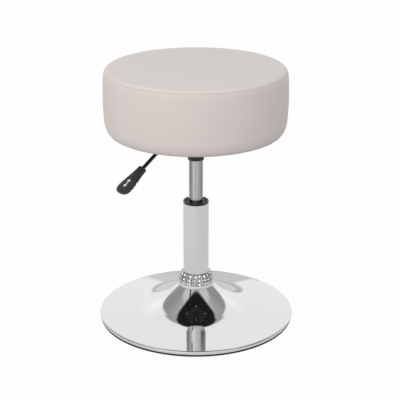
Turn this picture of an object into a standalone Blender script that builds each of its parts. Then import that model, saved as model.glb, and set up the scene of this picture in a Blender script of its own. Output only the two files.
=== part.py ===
"""Round vanity stool on a gas lift, as an assembly of its separate pieces.

A padded round seat stands on a chromed column and a trumpet shaped base. A lever under the seat
opens the gas lift, the seat then slides up or down, and it turns freely at any height.

Metres, +Z up. The origin is on the floor, at the middle of the base. The lever points along the
seat's own X axis, which is turned by LEVER_HEADING about the column.
"""

import math

import bmesh
import bpy
from mathutils import Matrix, Vector

# Fits
GAP = 0.0003  # left between pieces that rest on, or fit in, one another
RUN = 0.0004  # radial clearance of pieces that slide or turn in one another
EDGE_BREAK = 0.0006  # chamfer or rounding of plain turned edges

# Trumpet base
BASE_RADIUS = 0.1955
BASE_WALL = 0.0015
RIM_HEIGHT = 0.0105  # top of the disc at its rim
RIM_FILLET = 0.003
DISC_SLOPE = math.radians(7.95)
NECK_RADIUS = 0.0305
NECK_HEIGHT = 0.0724
NECK_SLOPE = math.radians(45.2)  # of the bell, where it leaves the neck
BELL_SLOPE = math.radians(21.2)  # of the bell, where it comes down to the disc
BELL_BEND = 0.0331  # length of the bell that bends from the neck's slope to its own
FOOT_RADIUS = 0.1119  # where bell and disc meet
FOOT_BEND = 0.0168  # length of either that is taken up by the fold between them
RUBBER_LEDGE = 0.0032  # rubber under the skirt
RUBBER_LIP = 0.0040  # rubber inside the skirt
RUBBER_HEIGHT = 0.0080
RUBBER_ROUND = 0.0012
WEIGHT_THICKNESS = 0.0040
WEIGHT_HOLE = 0.0220
SOCKET_WALL = 0.0032
SOCKET_TOP = 0.0650
SOCKET_FLANGE = 0.0480
SOCKET_FLOOR = 0.0030
SOCKET_HOLE = 0.0180

# Column and gas lift
COLUMN_RADIUS = 0.0254
COLUMN_WALL = 0.0018
COLUMN_TOP = 0.2428
COLUMN_LIP = 0.0020  # thickness of the rolled lip at the foot of the column
CYLINDER_RADIUS = 0.0140
CYLINDER_WALL = 0.0016
TAPER_DROP = 0.0007  # radius lost over the taper that wedges into the seat's hub
STROKE_DOWN = 0.057
STROKE_UP = 0.083
BUSH_LENGTH = 0.072
BUSH_LAND = 0.012  # length of each end that fits the tube
BUSH_STEP = 0.0036
BUSH_FLANGE = 0.0036
BUSH_RECESS = 0.0022
BUSH_SLEEVE = 0.0028
BUSH_LIP = 0.0018
BUSH_RIM = 0.0032
ROD_RADIUS = 0.0050
ROD_GROOVE = 0.0010  # depth of the clip's groove and of the piston's seat
END_PLATE = 0.0040
WASHER_THICKNESS = 0.0015
WASHER_RADIUS = 0.0150
BALL_RADIUS = 0.0022
BALL_COUNT = 8
CAGE_THICKNESS = 0.0024
ROD_COLLAR = 0.0032
ROD_COLLAR_RADIUS = 0.0090
BUFFER_HEIGHT = 0.0042
BUFFER_RADIUS = 0.0110
CLIP_THICKNESS = 0.0015
CLIP_RADIUS = 0.0088
ROD_TAIL = 0.0025
GLAND_LENGTH = 0.0115
CRIMP = 0.0012
PISTON_LENGTH = 0.0150
PISTON_SPARE = 0.0020  # left between piston and gland with the seat at its highest
SEAL_RADIUS = 0.0012
RIVET_HEAD = 0.0020
VALVE_LENGTH = 0.0260
PIN_RADIUS = 0.0040
PIN_ROUND = 0.0015

# Crystal ring at the foot of the column
RING_DROP = 0.0044  # of the ring's foot below the top of the base's neck
RING_LIP_RADIUS = 0.0360
RING_LIP_HEIGHT = 0.0048
RING_ROUND = 0.0018
RING_HEIGHT = 0.0265
RING_CROWN = 0.0007  # width of the ring's edge round the column
RING_SHOULDER = 0.0301  # radius at which the top row of stones starts
RING_SHOULDER_DROP = 0.0057  # of the shoulder below the ring's top
ROW_STONES = 20
STONE_BED = 0.0008  # strip that the stones of one row stand on
STONE_RISE = 0.0017
STONE_TABLE = 0.5  # share of a stone's width and height that is its flat table

# Seat
SEAT_HEIGHT = 0.5195  # top of the crown, with the lift part way up
SEAT_THICKNESS = 0.1295
SEAT_RADIUS = 0.1787
CROWN = 0.0033
EDGE_REACH = 0.0098  # half axes of the oval that rounds the top edge, inwards and down
EDGE_DROP = 0.0173
BOTTOM_REACH = 0.0153  # half axes of the oval that rounds the bottom edge, inwards and up
BOTTOM_RISE = 0.0309
SIDE_DRAW = 0.0015  # how far the side is drawn in at the seam and at the foot
SEAM_ANGLE = math.radians(55)  # where the seam lies on the rounded top edge
SEAM_GAP = 0.0008  # groove between the two panels of the cover
COVER = 0.0012
TURN_UNDER = 0.022
BOARD_INSET = 0.0015  # of the board's edge from the start of the rounded bottom edge
BOARD_THICKNESS = 0.0120
DUST_INSET = 0.0064
DUST_THICKNESS = 0.0008

# Seat plate and its fasteners
PLATE_SIDE = 0.1440
PLATE_THICKNESS = 0.0025
PLATE_CORNER = 0.0140
BOLT_SPACING = 0.1100
BOLT_RADIUS = 0.0030
BOLT_HEAD_RADIUS = 0.0055
BOLT_HEAD = 0.0033
NUT_BARREL_RADIUS = 0.0042
NUT_FLANGE_RADIUS = 0.0090
NUT_FLANGE = 0.0014
NUT_LENGTH = 0.0095

# Lever and its housing
LEVER_HEADING = math.radians(225)
HOUSING_HEIGHT = 0.0260
HOUSING_WALL = 0.0025
HOUSING_WIDTH = 0.0400
HOUSING_BACK = 0.0300
HOUSING_FRONT = 0.0550
HUB_WALL = 0.0017
HUB_DROP = 0.0275
HUB_STAND = 0.0020
LEVER_RISE = 0.0135  # lever's axis above the housing's floor
PIVOT_OFFSET = 0.0420
PIVOT_RADIUS = 0.0025
PIVOT_HEAD_RADIUS = 0.0045
PIVOT_HEAD = 0.0020
EYE_RADIUS = 0.0075
EYE_WIDTH = 0.0080
SPACER_WALL = 0.0015
LEVER_ROD_RADIUS = 0.0035
LEVER_TOE = 0.0050  # length of the rod past the column's axis
BEND_REACH = 0.0920
BEND_RADIUS = 0.0140
LEVER_DROOP = math.radians(31)
ROD_REACH = 0.0565  # from the bend to the handle's neck
ROD_INSET = 0.0250  # of the rod into the handle
HANDLE_LENGTH = 0.0670
HANDLE_NECK_WIDTH = 0.0170
HANDLE_NECK_THICKNESS = 0.0125
HANDLE_WIDTH = 0.0360
HANDLE_THICKNESS = 0.0088
HANDLE_SWELL = 0.8  # share of its length over which the handle widens
HANDLE_BLUNT = 4  # power of the curve round its tip, where 2 is an ellipse
HANDLE_TIP = 0.45  # share of its thickness left at the tip
HANDLE_STATIONS = (0.0, 0.2, 0.4, 0.6, 0.8, 0.92, 0.975, 0.998)
GRIP_COUNT = 3
GRIP_DEPTH = 0.0010
GRIP_RADIUS = 0.0040
GRIP_START = 0.62  # first grip, as a share of the handle's length
GRIP_PITCH = 0.11

# Facets of round pieces
FINE = 44
MEDIUM = 28
COARSE = 12
BENDS = 3  # facets across each rounded edge of the cushion
BELL_STEPS = 5
FOOT_STEPS = 2
HANDLE_SIDES = 16
SHARP = math.radians(35)  # edges bent more than this shade as sharp

# Heights worked up from the floor
SKIRT_BOTTOM = RUBBER_LEDGE + GAP
WEIGHT_TOP = RIM_HEIGHT - BASE_WALL - GAP
WEIGHT_BOTTOM = WEIGHT_TOP - WEIGHT_THICKNESS
SOCKET_BOTTOM = WEIGHT_TOP + GAP
COLUMN_BOTTOM = SOCKET_BOTTOM + SOCKET_FLOOR + GAP
END_PLATE_BOTTOM = COLUMN_BOTTOM + COLUMN_LIP + GAP
END_PLATE_TOP = END_PLATE_BOTTOM + END_PLATE
LOWER_WASHER = END_PLATE_TOP + GAP
CAGE_MIDDLE = LOWER_WASHER + WASHER_THICKNESS + GAP + BALL_RADIUS
UPPER_WASHER = CAGE_MIDDLE + BALL_RADIUS + GAP
COLLAR_BOTTOM = UPPER_WASHER + WASHER_THICKNESS + GAP
BUFFER_BOTTOM = COLLAR_BOTTOM + ROD_COLLAR + GAP
BUFFER_TOP = BUFFER_BOTTOM + BUFFER_HEIGHT
CYLINDER_BOTTOM = BUFFER_TOP + GAP + STROKE_DOWN
GLAND_BOTTOM = CYLINDER_BOTTOM + CRIMP + GAP
GLAND_TOP = GLAND_BOTTOM + GLAND_LENGTH
PISTON_BOTTOM = GLAND_TOP + STROKE_UP + PISTON_SPARE
PISTON_TOP = PISTON_BOTTOM + PISTON_LENGTH
CLIP_TOP = END_PLATE_BOTTOM - GAP
ROD_BOTTOM = CLIP_TOP - CLIP_THICKNESS - ROD_TAIL
RING_BOTTOM = NECK_HEIGHT - RING_DROP
RING_TOP = RING_BOTTOM + RING_HEIGHT
RING_STEP = RING_BOTTOM + RING_LIP_HEIGHT

# Heights worked down from the seat
SEAT_BOTTOM = SEAT_HEIGHT - SEAT_THICKNESS
BOARD_BOTTOM = SEAT_BOTTOM + COVER + GAP
BOARD_TOP = BOARD_BOTTOM + BOARD_THICKNESS
DUST_TOP = SEAT_BOTTOM - GAP
DUST_BOTTOM = DUST_TOP - DUST_THICKNESS
PLATE_TOP = DUST_BOTTOM - GAP
PLATE_BOTTOM = PLATE_TOP - PLATE_THICKNESS
HOUSING_TOP = PLATE_BOTTOM - GAP
HOUSING_BOTTOM = HOUSING_TOP - HOUSING_HEIGHT
HOUSING_FLOOR = HOUSING_BOTTOM + HOUSING_WALL
HUB_TOP = HOUSING_FLOOR + HUB_STAND
HUB_BOTTOM = HOUSING_BOTTOM - HUB_DROP
LEVER_HEIGHT = HOUSING_FLOOR + LEVER_RISE
CYLINDER_TOP = HUB_TOP + HUB_STAND
PIN_TOP = LEVER_HEIGHT - LEVER_ROD_RADIUS - GAP

# Radii that follow from the fits
COLUMN_BORE = COLUMN_RADIUS - COLUMN_WALL
CYLINDER_BORE = CYLINDER_RADIUS - CYLINDER_WALL
INSERT_RADIUS = CYLINDER_BORE - GAP  # gland and valve inside the cylinder
PISTON_RADIUS = CYLINDER_BORE - RUN
HUB_RADIUS = CYLINDER_RADIUS + GAP + HUB_WALL
BUSH_BORE = CYLINDER_RADIUS + RUN
ROD_NECK = ROD_RADIUS - ROD_GROOVE
SEAT_EDGE = SEAT_RADIUS - SIDE_DRAW
SEAT_FLAT = SEAT_EDGE - BOTTOM_REACH  # radius of the flat underside
BOARD_RADIUS = SEAT_FLAT - BOARD_INSET
DUST_RADIUS = SEAT_FLAT - DUST_INSET
RING_BORE = COLUMN_RADIUS + GAP
STONE_DEPTH = STONE_BED + STONE_RISE
SEAM_OPENING = 2 * SEAM_GAP / (EDGE_REACH + EDGE_DROP)  # the groove as an angle on the top edge
HALF_SPACING = BOLT_SPACING / 2
BOLT_PLACES = [(x, y) for x in (-HALF_SPACING, HALF_SPACING) for y in (-HALF_SPACING, HALF_SPACING)]


def clear_scene():
    for obj in list(bpy.data.objects):
        bpy.data.objects.remove(obj, do_unlink=True)


def new_collection(name):
    made = bpy.data.collections.new(name)
    bpy.context.scene.collection.children.link(made)
    return made


clear_scene()
STOOL = new_collection("vanity_stool")
CUTTERS = new_collection("cutters")


def finish(name, colour, roughness, metallic=0.0, transmission=0.0):
    made = bpy.data.materials.new(name)
    made.use_nodes = True
    shader = made.node_tree.nodes["Principled BSDF"]
    shader.inputs["Base Color"].default_value = (*colour, 1.0)
    shader.inputs["Roughness"].default_value = roughness
    shader.inputs["Metallic"].default_value = metallic
    shader.inputs["Transmission Weight"].default_value = transmission
    return made


CHROME = finish("chrome_plate", (0.80, 0.80, 0.81), 0.06, 1.0)
SATIN_STEEL = finish("satin_steel", (0.55, 0.55, 0.55), 0.30, 1.0)
PLAIN_STEEL = finish("plain_steel", (0.42, 0.42, 0.43), 0.40, 1.0)
BLACK_PAINT = finish("black_paint", (0.012, 0.012, 0.012), 0.45)
BLACK_PLASTIC = finish("black_plastic", (0.016, 0.016, 0.017), 0.38)
BLACK_RUBBER = finish("black_rubber", (0.015, 0.015, 0.015), 0.70)
LEATHERETTE = finish("leatherette", (0.66, 0.62, 0.59), 0.50)
FOAM = finish("foam", (0.80, 0.74, 0.55), 0.95)
PLYWOOD = finish("plywood", (0.55, 0.39, 0.24), 0.70)
DUST_FABRIC = finish("dust_fabric", (0.010, 0.010, 0.010), 0.95)
CRYSTAL = finish("crystal", (0.95, 0.96, 0.97), 0.02, 0.0, 0.9)


def new_empty(name, location, heading=0.0):
    """An empty that carries the pieces of one moving body, on its joint's axis."""
    made = bpy.data.objects.new(name, None)
    made.location = location
    made.rotation_euler = (0.0, 0.0, heading)
    made.empty_display_size = 0.05
    STOOL.objects.link(made)
    bpy.context.view_layer.update()
    return made


def new_object(name, mesh, material, collection=STOOL):
    made = bpy.data.objects.new(name, mesh)
    if material:
        mesh.materials.append(material)
    collection.objects.link(made)
    return made


def hold(obj, empty):
    """Parents obj to the empty and leaves it where it is."""
    obj.parent = empty
    obj.matrix_parent_inverse = empty.matrix_world.inverted()
    return obj


def applied(obj, name, material):
    """The evaluated shape of obj as a plain, smooth shaded mesh object that replaces it."""
    bpy.context.view_layer.update()
    graph = bpy.context.evaluated_depsgraph_get()
    mesh = bpy.data.meshes.new_from_object(obj.evaluated_get(graph))
    place = obj.matrix_world.copy()
    bpy.data.objects.remove(obj, do_unlink=True)
    shape = bmesh.new()
    shape.from_mesh(mesh)
    bmesh.ops.remove_doubles(shape, verts=shape.verts, dist=1e-6)
    shape.to_mesh(mesh)
    shape.free()
    mesh.shade_smooth()
    mesh.set_sharp_from_angle(angle=SHARP)
    mesh.materials.clear()
    made = new_object(name, mesh, material)
    made.matrix_world = place
    return made


def oval(centre, reach, rise, start, end, steps):
    """Points on an upright oval in the outline's plane, with angles in radians from the +X side."""
    turns = [start + (end - start) * step / steps for step in range(steps + 1)]
    return [(centre[0] + reach * math.cos(t), centre[1] + rise * math.sin(t)) for t in turns]


def arc(centre, radius, start, end, steps):
    return oval(centre, radius, radius, start, end, steps)


def bend(start, corner, end, steps):
    """A parabola that leaves start towards the corner and comes to end away from it."""
    shares = [step / steps for step in range(steps + 1)]
    return [tuple(start.lerp(corner, t).lerp(corner.lerp(end, t), t)) for t in shares]


def rounded(corners, steps=3):
    """An outline from (x, y) or (x, y, fillet) corners, each fillet kept within its own edges."""
    points = []
    for index, corner in enumerate(corners):
        here = Vector(corner[:2])
        fillet = corner[2] if len(corner) > 2 else 0.0
        if fillet == 0.0:
            points.append(tuple(here))
            continue
        before = Vector(corners[index - 1][:2]) - here
        after = Vector(corners[(index + 1) % len(corners)][:2]) - here
        half = before.angle(after) / 2
        reach = min(fillet / math.tan(half), before.length * 0.45, after.length * 0.45)
        start = here + before.normalized() * reach
        end = here + after.normalized() * reach
        points += bend(start, here, end, steps)
    return points


def turned(name, outline, material, closed=True, wall=0.0, steps=MEDIUM):
    """An outline of (radius, height) points, turned about the column's axis.

    A closed outline makes a solid ring. An open one makes a solid where both its ends lie on the
    axis, or a sheet that is thickened inwards by wall. Outlines run down their outer side.
    """
    mesh = bpy.data.meshes.new(name)
    links = [(i, i + 1) for i in range(len(outline) - 1)]
    if closed:
        links.append((len(outline) - 1, 0))
    mesh.from_pydata([(x, 0.0, z) for x, z in outline], links, [])
    obj = new_object(name + "_outline", mesh, None)
    screw = obj.modifiers.new("turn", "SCREW")
    screw.axis = "Z"
    screw.angle = math.tau
    screw.steps = steps
    screw.render_steps = steps
    screw.use_merge_vertices = True
    screw.merge_threshold = 1e-5
    if wall:
        shell = obj.modifiers.new("wall", "SOLIDIFY")
        shell.thickness = wall
        shell.offset = -1.0
        shell.use_even_offset = True
    return applied(obj, name, material)


def ring_outline(inner, outer, bottom, top, chamfer=0.0):
    """A closed rectangular outline of a turned ring, with its two outer edges chamfered."""
    corners = [(inner, top), (outer, top, chamfer), (outer, bottom, chamfer), (inner, bottom)]
    return rounded(corners, steps=1)


def cylinder_cutter(name, radius, start, end, steps=COARSE):
    """A hidden round cutter between two points."""
    start, end = Vector(start), Vector(end)
    axis = end - start
    shape = bmesh.new()
    bmesh.ops.create_cone(
        shape, cap_ends=True, segments=steps, radius1=radius, radius2=radius, depth=axis.length
    )
    mesh = bpy.data.meshes.new(name)
    shape.to_mesh(mesh)
    shape.free()
    made = new_object(name, mesh, None, CUTTERS)
    turn = axis.to_track_quat("Z", "Y").to_matrix().to_4x4()
    made.matrix_world = Matrix.Translation((start + end) / 2) @ turn
    made.hide_render = True
    made.display_type = "WIRE"
    return made


def combine(obj, other, operation):
    step = obj.modifiers.new(operation.lower(), "BOOLEAN")
    step.operation = operation
    step.object = other
    return obj


def cut(obj, *cutters):
    for cutter in cutters:
        combine(obj, cutter, "DIFFERENCE")
    return obj


# Trumpet base


def disc_height(radius):
    """Top of the plain disc, a shallow cone that rises from the rim to the middle."""
    return RIM_HEIGHT + (BASE_RADIUS - radius) * math.tan(DISC_SLOPE)


def bell_outline():
    """The bell bends from the neck's slope to a cone of its own, and folds over into the disc."""
    neck = Vector((NECK_RADIUS, NECK_HEIGHT))
    foot = Vector((FOOT_RADIUS, disc_height(FOOT_RADIUS)))
    fall, slope = math.tan(NECK_SLOPE), math.tan(BELL_SLOPE)
    waist_radius = (neck.y + neck.x * fall - foot.y - foot.x * slope) / (fall - slope)
    waist = Vector((waist_radius, neck.y - (waist_radius - neck.x) * fall))
    up = (waist - foot).normalized()
    out = Vector((math.cos(DISC_SLOPE), -math.sin(DISC_SLOPE)))
    bell = bend(neck, waist, waist - up * BELL_BEND, BELL_STEPS)
    return bell + bend(foot + up * FOOT_BEND, foot, foot + out * FOOT_BEND, FOOT_STEPS)


def make_base_shell():
    """One spun sheet: neck, bell, disc, rounded rim and skirt."""
    edge = BASE_RADIUS - RIM_FILLET
    outline = bell_outline()
    outline.append((edge, disc_height(edge)))
    centre = (edge, disc_height(edge) - RIM_FILLET)
    outline += arc(centre, RIM_FILLET, math.radians(60), 0.0, 2)
    outline.append((BASE_RADIUS, SKIRT_BOTTOM))
    return turned("base_shell", outline, CHROME, closed=False, wall=BASE_WALL, steps=FINE)


def make_rubber_rim():
    """Foot of the stool: a ledge under the skirt and a lip that grips it from inside."""
    lip_outer = BASE_RADIUS - BASE_WALL - GAP
    lip_inner = lip_outer - RUBBER_LIP
    outline = rounded(
        [
            (lip_inner, RUBBER_HEIGHT),
            (lip_outer, RUBBER_HEIGHT),
            (lip_outer, RUBBER_LEDGE),
            (BASE_RADIUS, RUBBER_LEDGE),
            (BASE_RADIUS, 0.0, RUBBER_ROUND),
            (lip_inner, 0.0),
        ],
        steps=2,
    )
    return turned("rubber_rim", outline, BLACK_RUBBER, steps=FINE)


def make_base_weight():
    """Steel plate inside the base that keeps the stool from tipping."""
    outer = BASE_RADIUS - BASE_WALL - RUBBER_LIP - 2 * GAP
    outline = ring_outline(WEIGHT_HOLE, outer, WEIGHT_BOTTOM, WEIGHT_TOP)
    return turned("base_weight", outline, BLACK_PAINT, steps=FINE)


def make_base_socket():
    """Flanged tube on the weight that the column stands in."""
    bore = COLUMN_RADIUS + GAP
    outer = bore + SOCKET_WALL
    floor = SOCKET_BOTTOM + SOCKET_FLOOR
    outline = rounded(
        [
            (bore, SOCKET_TOP),
            (outer, SOCKET_TOP),
            (outer, floor, SOCKET_WALL),
            (SOCKET_FLANGE, floor),
            (SOCKET_FLANGE, SOCKET_BOTTOM),
            (SOCKET_HOLE, SOCKET_BOTTOM),
            (SOCKET_HOLE, floor),
            (bore, floor),
        ],
        steps=2,
    )
    return turned("base_socket", outline, BLACK_PAINT)


# Column and gas lift


def make_column_tube():
    """Chromed tube with a lip rolled in at its foot."""
    outline = rounded(
        [
            (COLUMN_BORE, COLUMN_TOP),
            (COLUMN_RADIUS, COLUMN_TOP, EDGE_BREAK),
            (COLUMN_RADIUS, COLUMN_BOTTOM, EDGE_BREAK),
            (SOCKET_HOLE + GAP, COLUMN_BOTTOM),
            (SOCKET_HOLE + GAP, COLUMN_BOTTOM + COLUMN_LIP),
            (COLUMN_BORE, COLUMN_BOTTOM + COLUMN_LIP),
        ],
        steps=1,
    )
    return turned("column_tube", outline, CHROME)


def make_guide_bush():
    """Plastic bush that guides the gas cylinder, with a recessed cap on top of the column."""
    body = COLUMN_BORE - GAP
    sleeve = BUSH_BORE + BUSH_SLEEVE
    flange_bottom = COLUMN_TOP + GAP
    top = flange_bottom + BUSH_FLANGE
    bottom = COLUMN_TOP - BUSH_LENGTH
    well = top - BUSH_RECESS
    outline = rounded(
        [
            (BUSH_BORE, top - BUSH_RECESS / 2),
            (BUSH_BORE + BUSH_LIP, top - BUSH_RECESS / 2),
            (BUSH_BORE + BUSH_LIP + EDGE_BREAK, well),
            (COLUMN_RADIUS - BUSH_RIM - EDGE_BREAK, well),
            (COLUMN_RADIUS - BUSH_RIM, top, EDGE_BREAK),
            (COLUMN_RADIUS, top, 2 * EDGE_BREAK),
            (COLUMN_RADIUS, flange_bottom),
            (body, flange_bottom),
            (body, COLUMN_TOP - BUSH_LAND),
            (sleeve, COLUMN_TOP - BUSH_LAND - BUSH_STEP),
            (sleeve, bottom + BUSH_LAND + BUSH_STEP),
            (body, bottom + BUSH_LAND),
            (body, bottom),
            (BUSH_BORE, bottom),
        ],
        steps=2,
    )
    return turned("guide_bush", outline, BLACK_PLASTIC)


def make_gas_cylinder():
    """Pressure tube of the gas lift, crimped in below and tapered at its top."""
    outline = rounded(
        [
            (CYLINDER_BORE, CYLINDER_TOP),
            (CYLINDER_RADIUS - TAPER_DROP, CYLINDER_TOP),
            (CYLINDER_RADIUS, HUB_BOTTOM),
            (CYLINDER_RADIUS, CYLINDER_BOTTOM, EDGE_BREAK),
            (CYLINDER_BORE - CRIMP, CYLINDER_BOTTOM),
            (CYLINDER_BORE - CRIMP, CYLINDER_BOTTOM + CRIMP),
            (CYLINDER_BORE, CYLINDER_BOTTOM + CRIMP),
        ],
        steps=1,
    )
    return turned("gas_cylinder", outline, SATIN_STEEL)


def make_rod_gland():
    outline = ring_outline(ROD_RADIUS + RUN, INSERT_RADIUS, GLAND_BOTTOM, GLAND_TOP, EDGE_BREAK)
    return turned("rod_gland", outline, BLACK_RUBBER, steps=COARSE)


def make_valve_body():
    top = CYLINDER_TOP
    outline = ring_outline(PIN_RADIUS + RUN, INSERT_RADIUS, top - VALVE_LENGTH, top, EDGE_BREAK)
    return turned("valve_body", outline, PLAIN_STEEL, steps=COARSE)


def make_release_pin():
    """Pin on top of the gas lift that the lever presses to open the valve."""
    bottom = CYLINDER_TOP - VALVE_LENGTH
    outline = rounded(
        [
            (0.0, PIN_TOP),
            (PIN_RADIUS, PIN_TOP, PIN_ROUND),
            (PIN_RADIUS, bottom),
            (0.0, bottom),
        ]
    )
    return turned("release_pin", outline, PLAIN_STEEL, closed=False, steps=COARSE)


def make_piston_rod():
    """Rod that stands on the thrust bearing, with the piston riveted to its top."""
    groove_bottom = CLIP_TOP - CLIP_THICKNESS - GAP
    neck_top = PISTON_TOP + GAP
    outline = [
        (0.0, neck_top + RIVET_HEAD),
        (ROD_RADIUS, neck_top + RIVET_HEAD - EDGE_BREAK),
        (ROD_RADIUS, neck_top),
        (ROD_NECK, neck_top),
        (ROD_NECK, PISTON_BOTTOM - GAP),
        (ROD_RADIUS, PISTON_BOTTOM - GAP),
        (ROD_RADIUS, COLLAR_BOTTOM + ROD_COLLAR),
        (ROD_COLLAR_RADIUS, COLLAR_BOTTOM + ROD_COLLAR),
        (ROD_COLLAR_RADIUS, COLLAR_BOTTOM),
        (ROD_RADIUS, COLLAR_BOTTOM),
        (ROD_RADIUS, CLIP_TOP + GAP),
        (ROD_NECK, CLIP_TOP + GAP),
        (ROD_NECK, groove_bottom),
        (ROD_RADIUS, groove_bottom),
        (ROD_RADIUS, ROD_BOTTOM + EDGE_BREAK),
        (ROD_RADIUS - EDGE_BREAK, ROD_BOTTOM),
        (0.0, ROD_BOTTOM),
    ]
    return turned("piston_rod", outline, PLAIN_STEEL, closed=False, steps=COARSE)


def make_piston():
    middle = (PISTON_BOTTOM + PISTON_TOP) / 2
    groove = SEAL_RADIUS + GAP
    floor = PISTON_RADIUS - 2 * SEAL_RADIUS
    outline = rounded(
        [
            (ROD_NECK + GAP, PISTON_TOP),
            (PISTON_RADIUS, PISTON_TOP, EDGE_BREAK),
            (PISTON_RADIUS, middle + groove),
            (floor, middle + groove),
            (floor, middle - groove),
            (PISTON_RADIUS, middle - groove),
            (PISTON_RADIUS, PISTON_BOTTOM, EDGE_BREAK),
            (ROD_NECK + GAP, PISTON_BOTTOM),
        ],
        steps=1,
    )
    return turned("piston", outline, PLAIN_STEEL, steps=COARSE)


def make_piston_seal():
    middle = (PISTON_RADIUS - SEAL_RADIUS + RUN / 4, (PISTON_BOTTOM + PISTON_TOP) / 2)
    outline = arc(middle, SEAL_RADIUS, math.tau, 0.0, 8)[:-1]
    return turned("piston_seal", outline, BLACK_RUBBER, steps=COARSE)


def make_bearing_washer(name, bottom):
    outline = ring_outline(ROD_RADIUS + RUN, WASHER_RADIUS, bottom, bottom + WASHER_THICKNESS)
    return turned(name, outline, PLAIN_STEEL, steps=COARSE)


def make_ball_cage():
    """Flat cage of the thrust bearing, with its balls standing out above and below."""
    half = CAGE_THICKNESS / 2
    inner = ROD_RADIUS + RUN
    outline = ring_outline(inner, WASHER_RADIUS, CAGE_MIDDLE - half, CAGE_MIDDLE + half)
    cage = turned("thrust_ball_cage", outline, PLAIN_STEEL, steps=COARSE)
    track = (inner + WASHER_RADIUS) / 2
    for index in range(BALL_COUNT):
        turn = math.tau * (index + 0.5) / BALL_COUNT
        shape = bmesh.new()
        bmesh.ops.create_uvsphere(shape, u_segments=6, v_segments=4, radius=BALL_RADIUS)
        mesh = bpy.data.meshes.new("bearing_ball")
        shape.to_mesh(mesh)
        shape.free()
        ball = new_object(f"bearing_ball_{index + 1}", mesh, None, CUTTERS)
        ball.location = (track * math.cos(turn), track * math.sin(turn), CAGE_MIDDLE)
        ball.hide_render = True
        ball.display_type = "WIRE"
        combine(cage, ball, "UNION")
    return cage


def make_end_plate():
    inner, outer = ROD_RADIUS + 2 * RUN, COLUMN_BORE - GAP
    outline = ring_outline(inner, outer, END_PLATE_BOTTOM, END_PLATE_TOP)
    return turned("tube_end_plate", outline, PLAIN_STEEL)


def make_buffer():
    outline = ring_outline(ROD_RADIUS + GAP, BUFFER_RADIUS, BUFFER_BOTTOM, BUFFER_TOP, EDGE_BREAK)
    return turned("rubber_buffer", outline, BLACK_RUBBER, steps=COARSE)


def make_rod_clip():
    """Spring clip that keeps the rod in the foot of the column, open on one side."""
    bottom = CLIP_TOP - CLIP_THICKNESS
    outline = ring_outline(ROD_NECK + GAP, CLIP_RADIUS, bottom, CLIP_TOP)
    clip = turned("rod_clip", outline, PLAIN_STEEL, steps=COARSE)
    height = (bottom + CLIP_TOP) / 2
    mouth = cylinder_cutter(
        "clip_mouth", ROD_NECK, (ROD_NECK, 0.0, height), (2 * CLIP_RADIUS, 0.0, height)
    )
    return cut(clip, mouth)


# Crystal ring


def ring_beds():
    """Ends of the three beds of stones as (radius, height), from the lip up to the column."""
    foot = Vector((RING_LIP_RADIUS - STONE_DEPTH, RING_STEP))
    shoulder = Vector((RING_SHOULDER, RING_TOP - RING_SHOULDER_DROP))
    crown = Vector((RING_BORE + RING_CROWN, RING_TOP))
    return [foot, (foot + shoulder) / 2, shoulder, crown]


def make_ring_collar():
    """Chromed collar round the column, with a bed for each row of stones and a lip below them.

    It stands on the base's neck with a conical seat.
    """
    clear = 3 * GAP
    seat = NECK_RADIUS + clear + RING_DROP / math.tan(NECK_SLOPE)
    outline = rounded(
        [
            (RING_BORE, RING_TOP),
            *[tuple(end) for end in reversed(ring_beds())],
            (RING_LIP_RADIUS, RING_STEP, RING_ROUND),
            (RING_LIP_RADIUS, RING_BOTTOM, RING_ROUND),
            (seat, RING_BOTTOM),
            (NECK_RADIUS + clear, NECK_HEIGHT),
            (NECK_RADIUS, NECK_HEIGHT + GAP),
            (RING_BORE, NECK_HEIGHT + GAP),
        ],
        steps=2,
    )
    return turned("ring_collar", outline, CHROME)


def make_stone_row(name, low, high):
    """A strip of table cut stones between the ends of its bed.

    The strip is a turned ring with three columns to a stone. The first column lies in the groove
    between two stones, and the other two are the sides of the table.
    """
    along = high - low
    out = Vector((along.y, -along.x)).normalized()
    inset = along.normalized() * GAP
    low = low + out * GAP + inset
    high = high + out * GAP - inset
    along = high - low
    margin = (1 - STONE_TABLE) / 2
    bed = out * STONE_BED
    crest = out * (STONE_DEPTH - 2 * GAP)
    shape = bmesh.new()
    loop = [
        shape.verts.new((point.x, 0.0, point.y))
        for point in (
            low,
            low + bed,
            low + along * margin + crest,
            high - along * margin + crest,
            high + bed,
            high,
        )
    ]
    rim = [shape.edges.new((loop[i - 1], loop[i])) for i in range(len(loop))]
    bmesh.ops.spin(shape, geom=loop + rim, axis=(0, 0, 1), angle=math.tau, steps=3 * ROW_STONES)
    bmesh.ops.remove_doubles(shape, verts=shape.verts, dist=1e-6)
    pitch = math.tau / ROW_STONES
    for vert in shape.verts:
        step = round(math.atan2(vert.co.y, vert.co.x) / pitch * 3)
        stone, column = divmod(step, 3)
        place = Vector((math.hypot(vert.co.x, vert.co.y), vert.co.z))
        rise = (place - low - bed).dot(out)
        if column == 0 and rise > GAP:
            place -= out * rise
        turn = (stone + (0.0, margin, 1 - margin)[column]) * pitch
        vert.co = (place.x * math.cos(turn), place.x * math.sin(turn), place.y)
    bmesh.ops.recalc_face_normals(shape, faces=shape.faces)
    mesh = bpy.data.meshes.new(name)
    shape.to_mesh(mesh)
    shape.free()
    return new_object(name, mesh, CRYSTAL)


# Seat


def crown_outline(inset, end):
    """Top of the cushion from its middle, over the rounded edge, to the angle end on that edge."""
    edge = SEAT_EDGE - EDGE_REACH
    shares = [step / BENDS for step in range(BENDS)]
    dome = [(edge * share, SEAT_HEIGHT - inset - CROWN * share**2) for share in shares]
    centre = (edge, SEAT_HEIGHT - CROWN - EDGE_DROP)
    return dome + oval(centre, EDGE_REACH - inset, EDGE_DROP - inset, math.pi / 2, end, BENDS)


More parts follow.
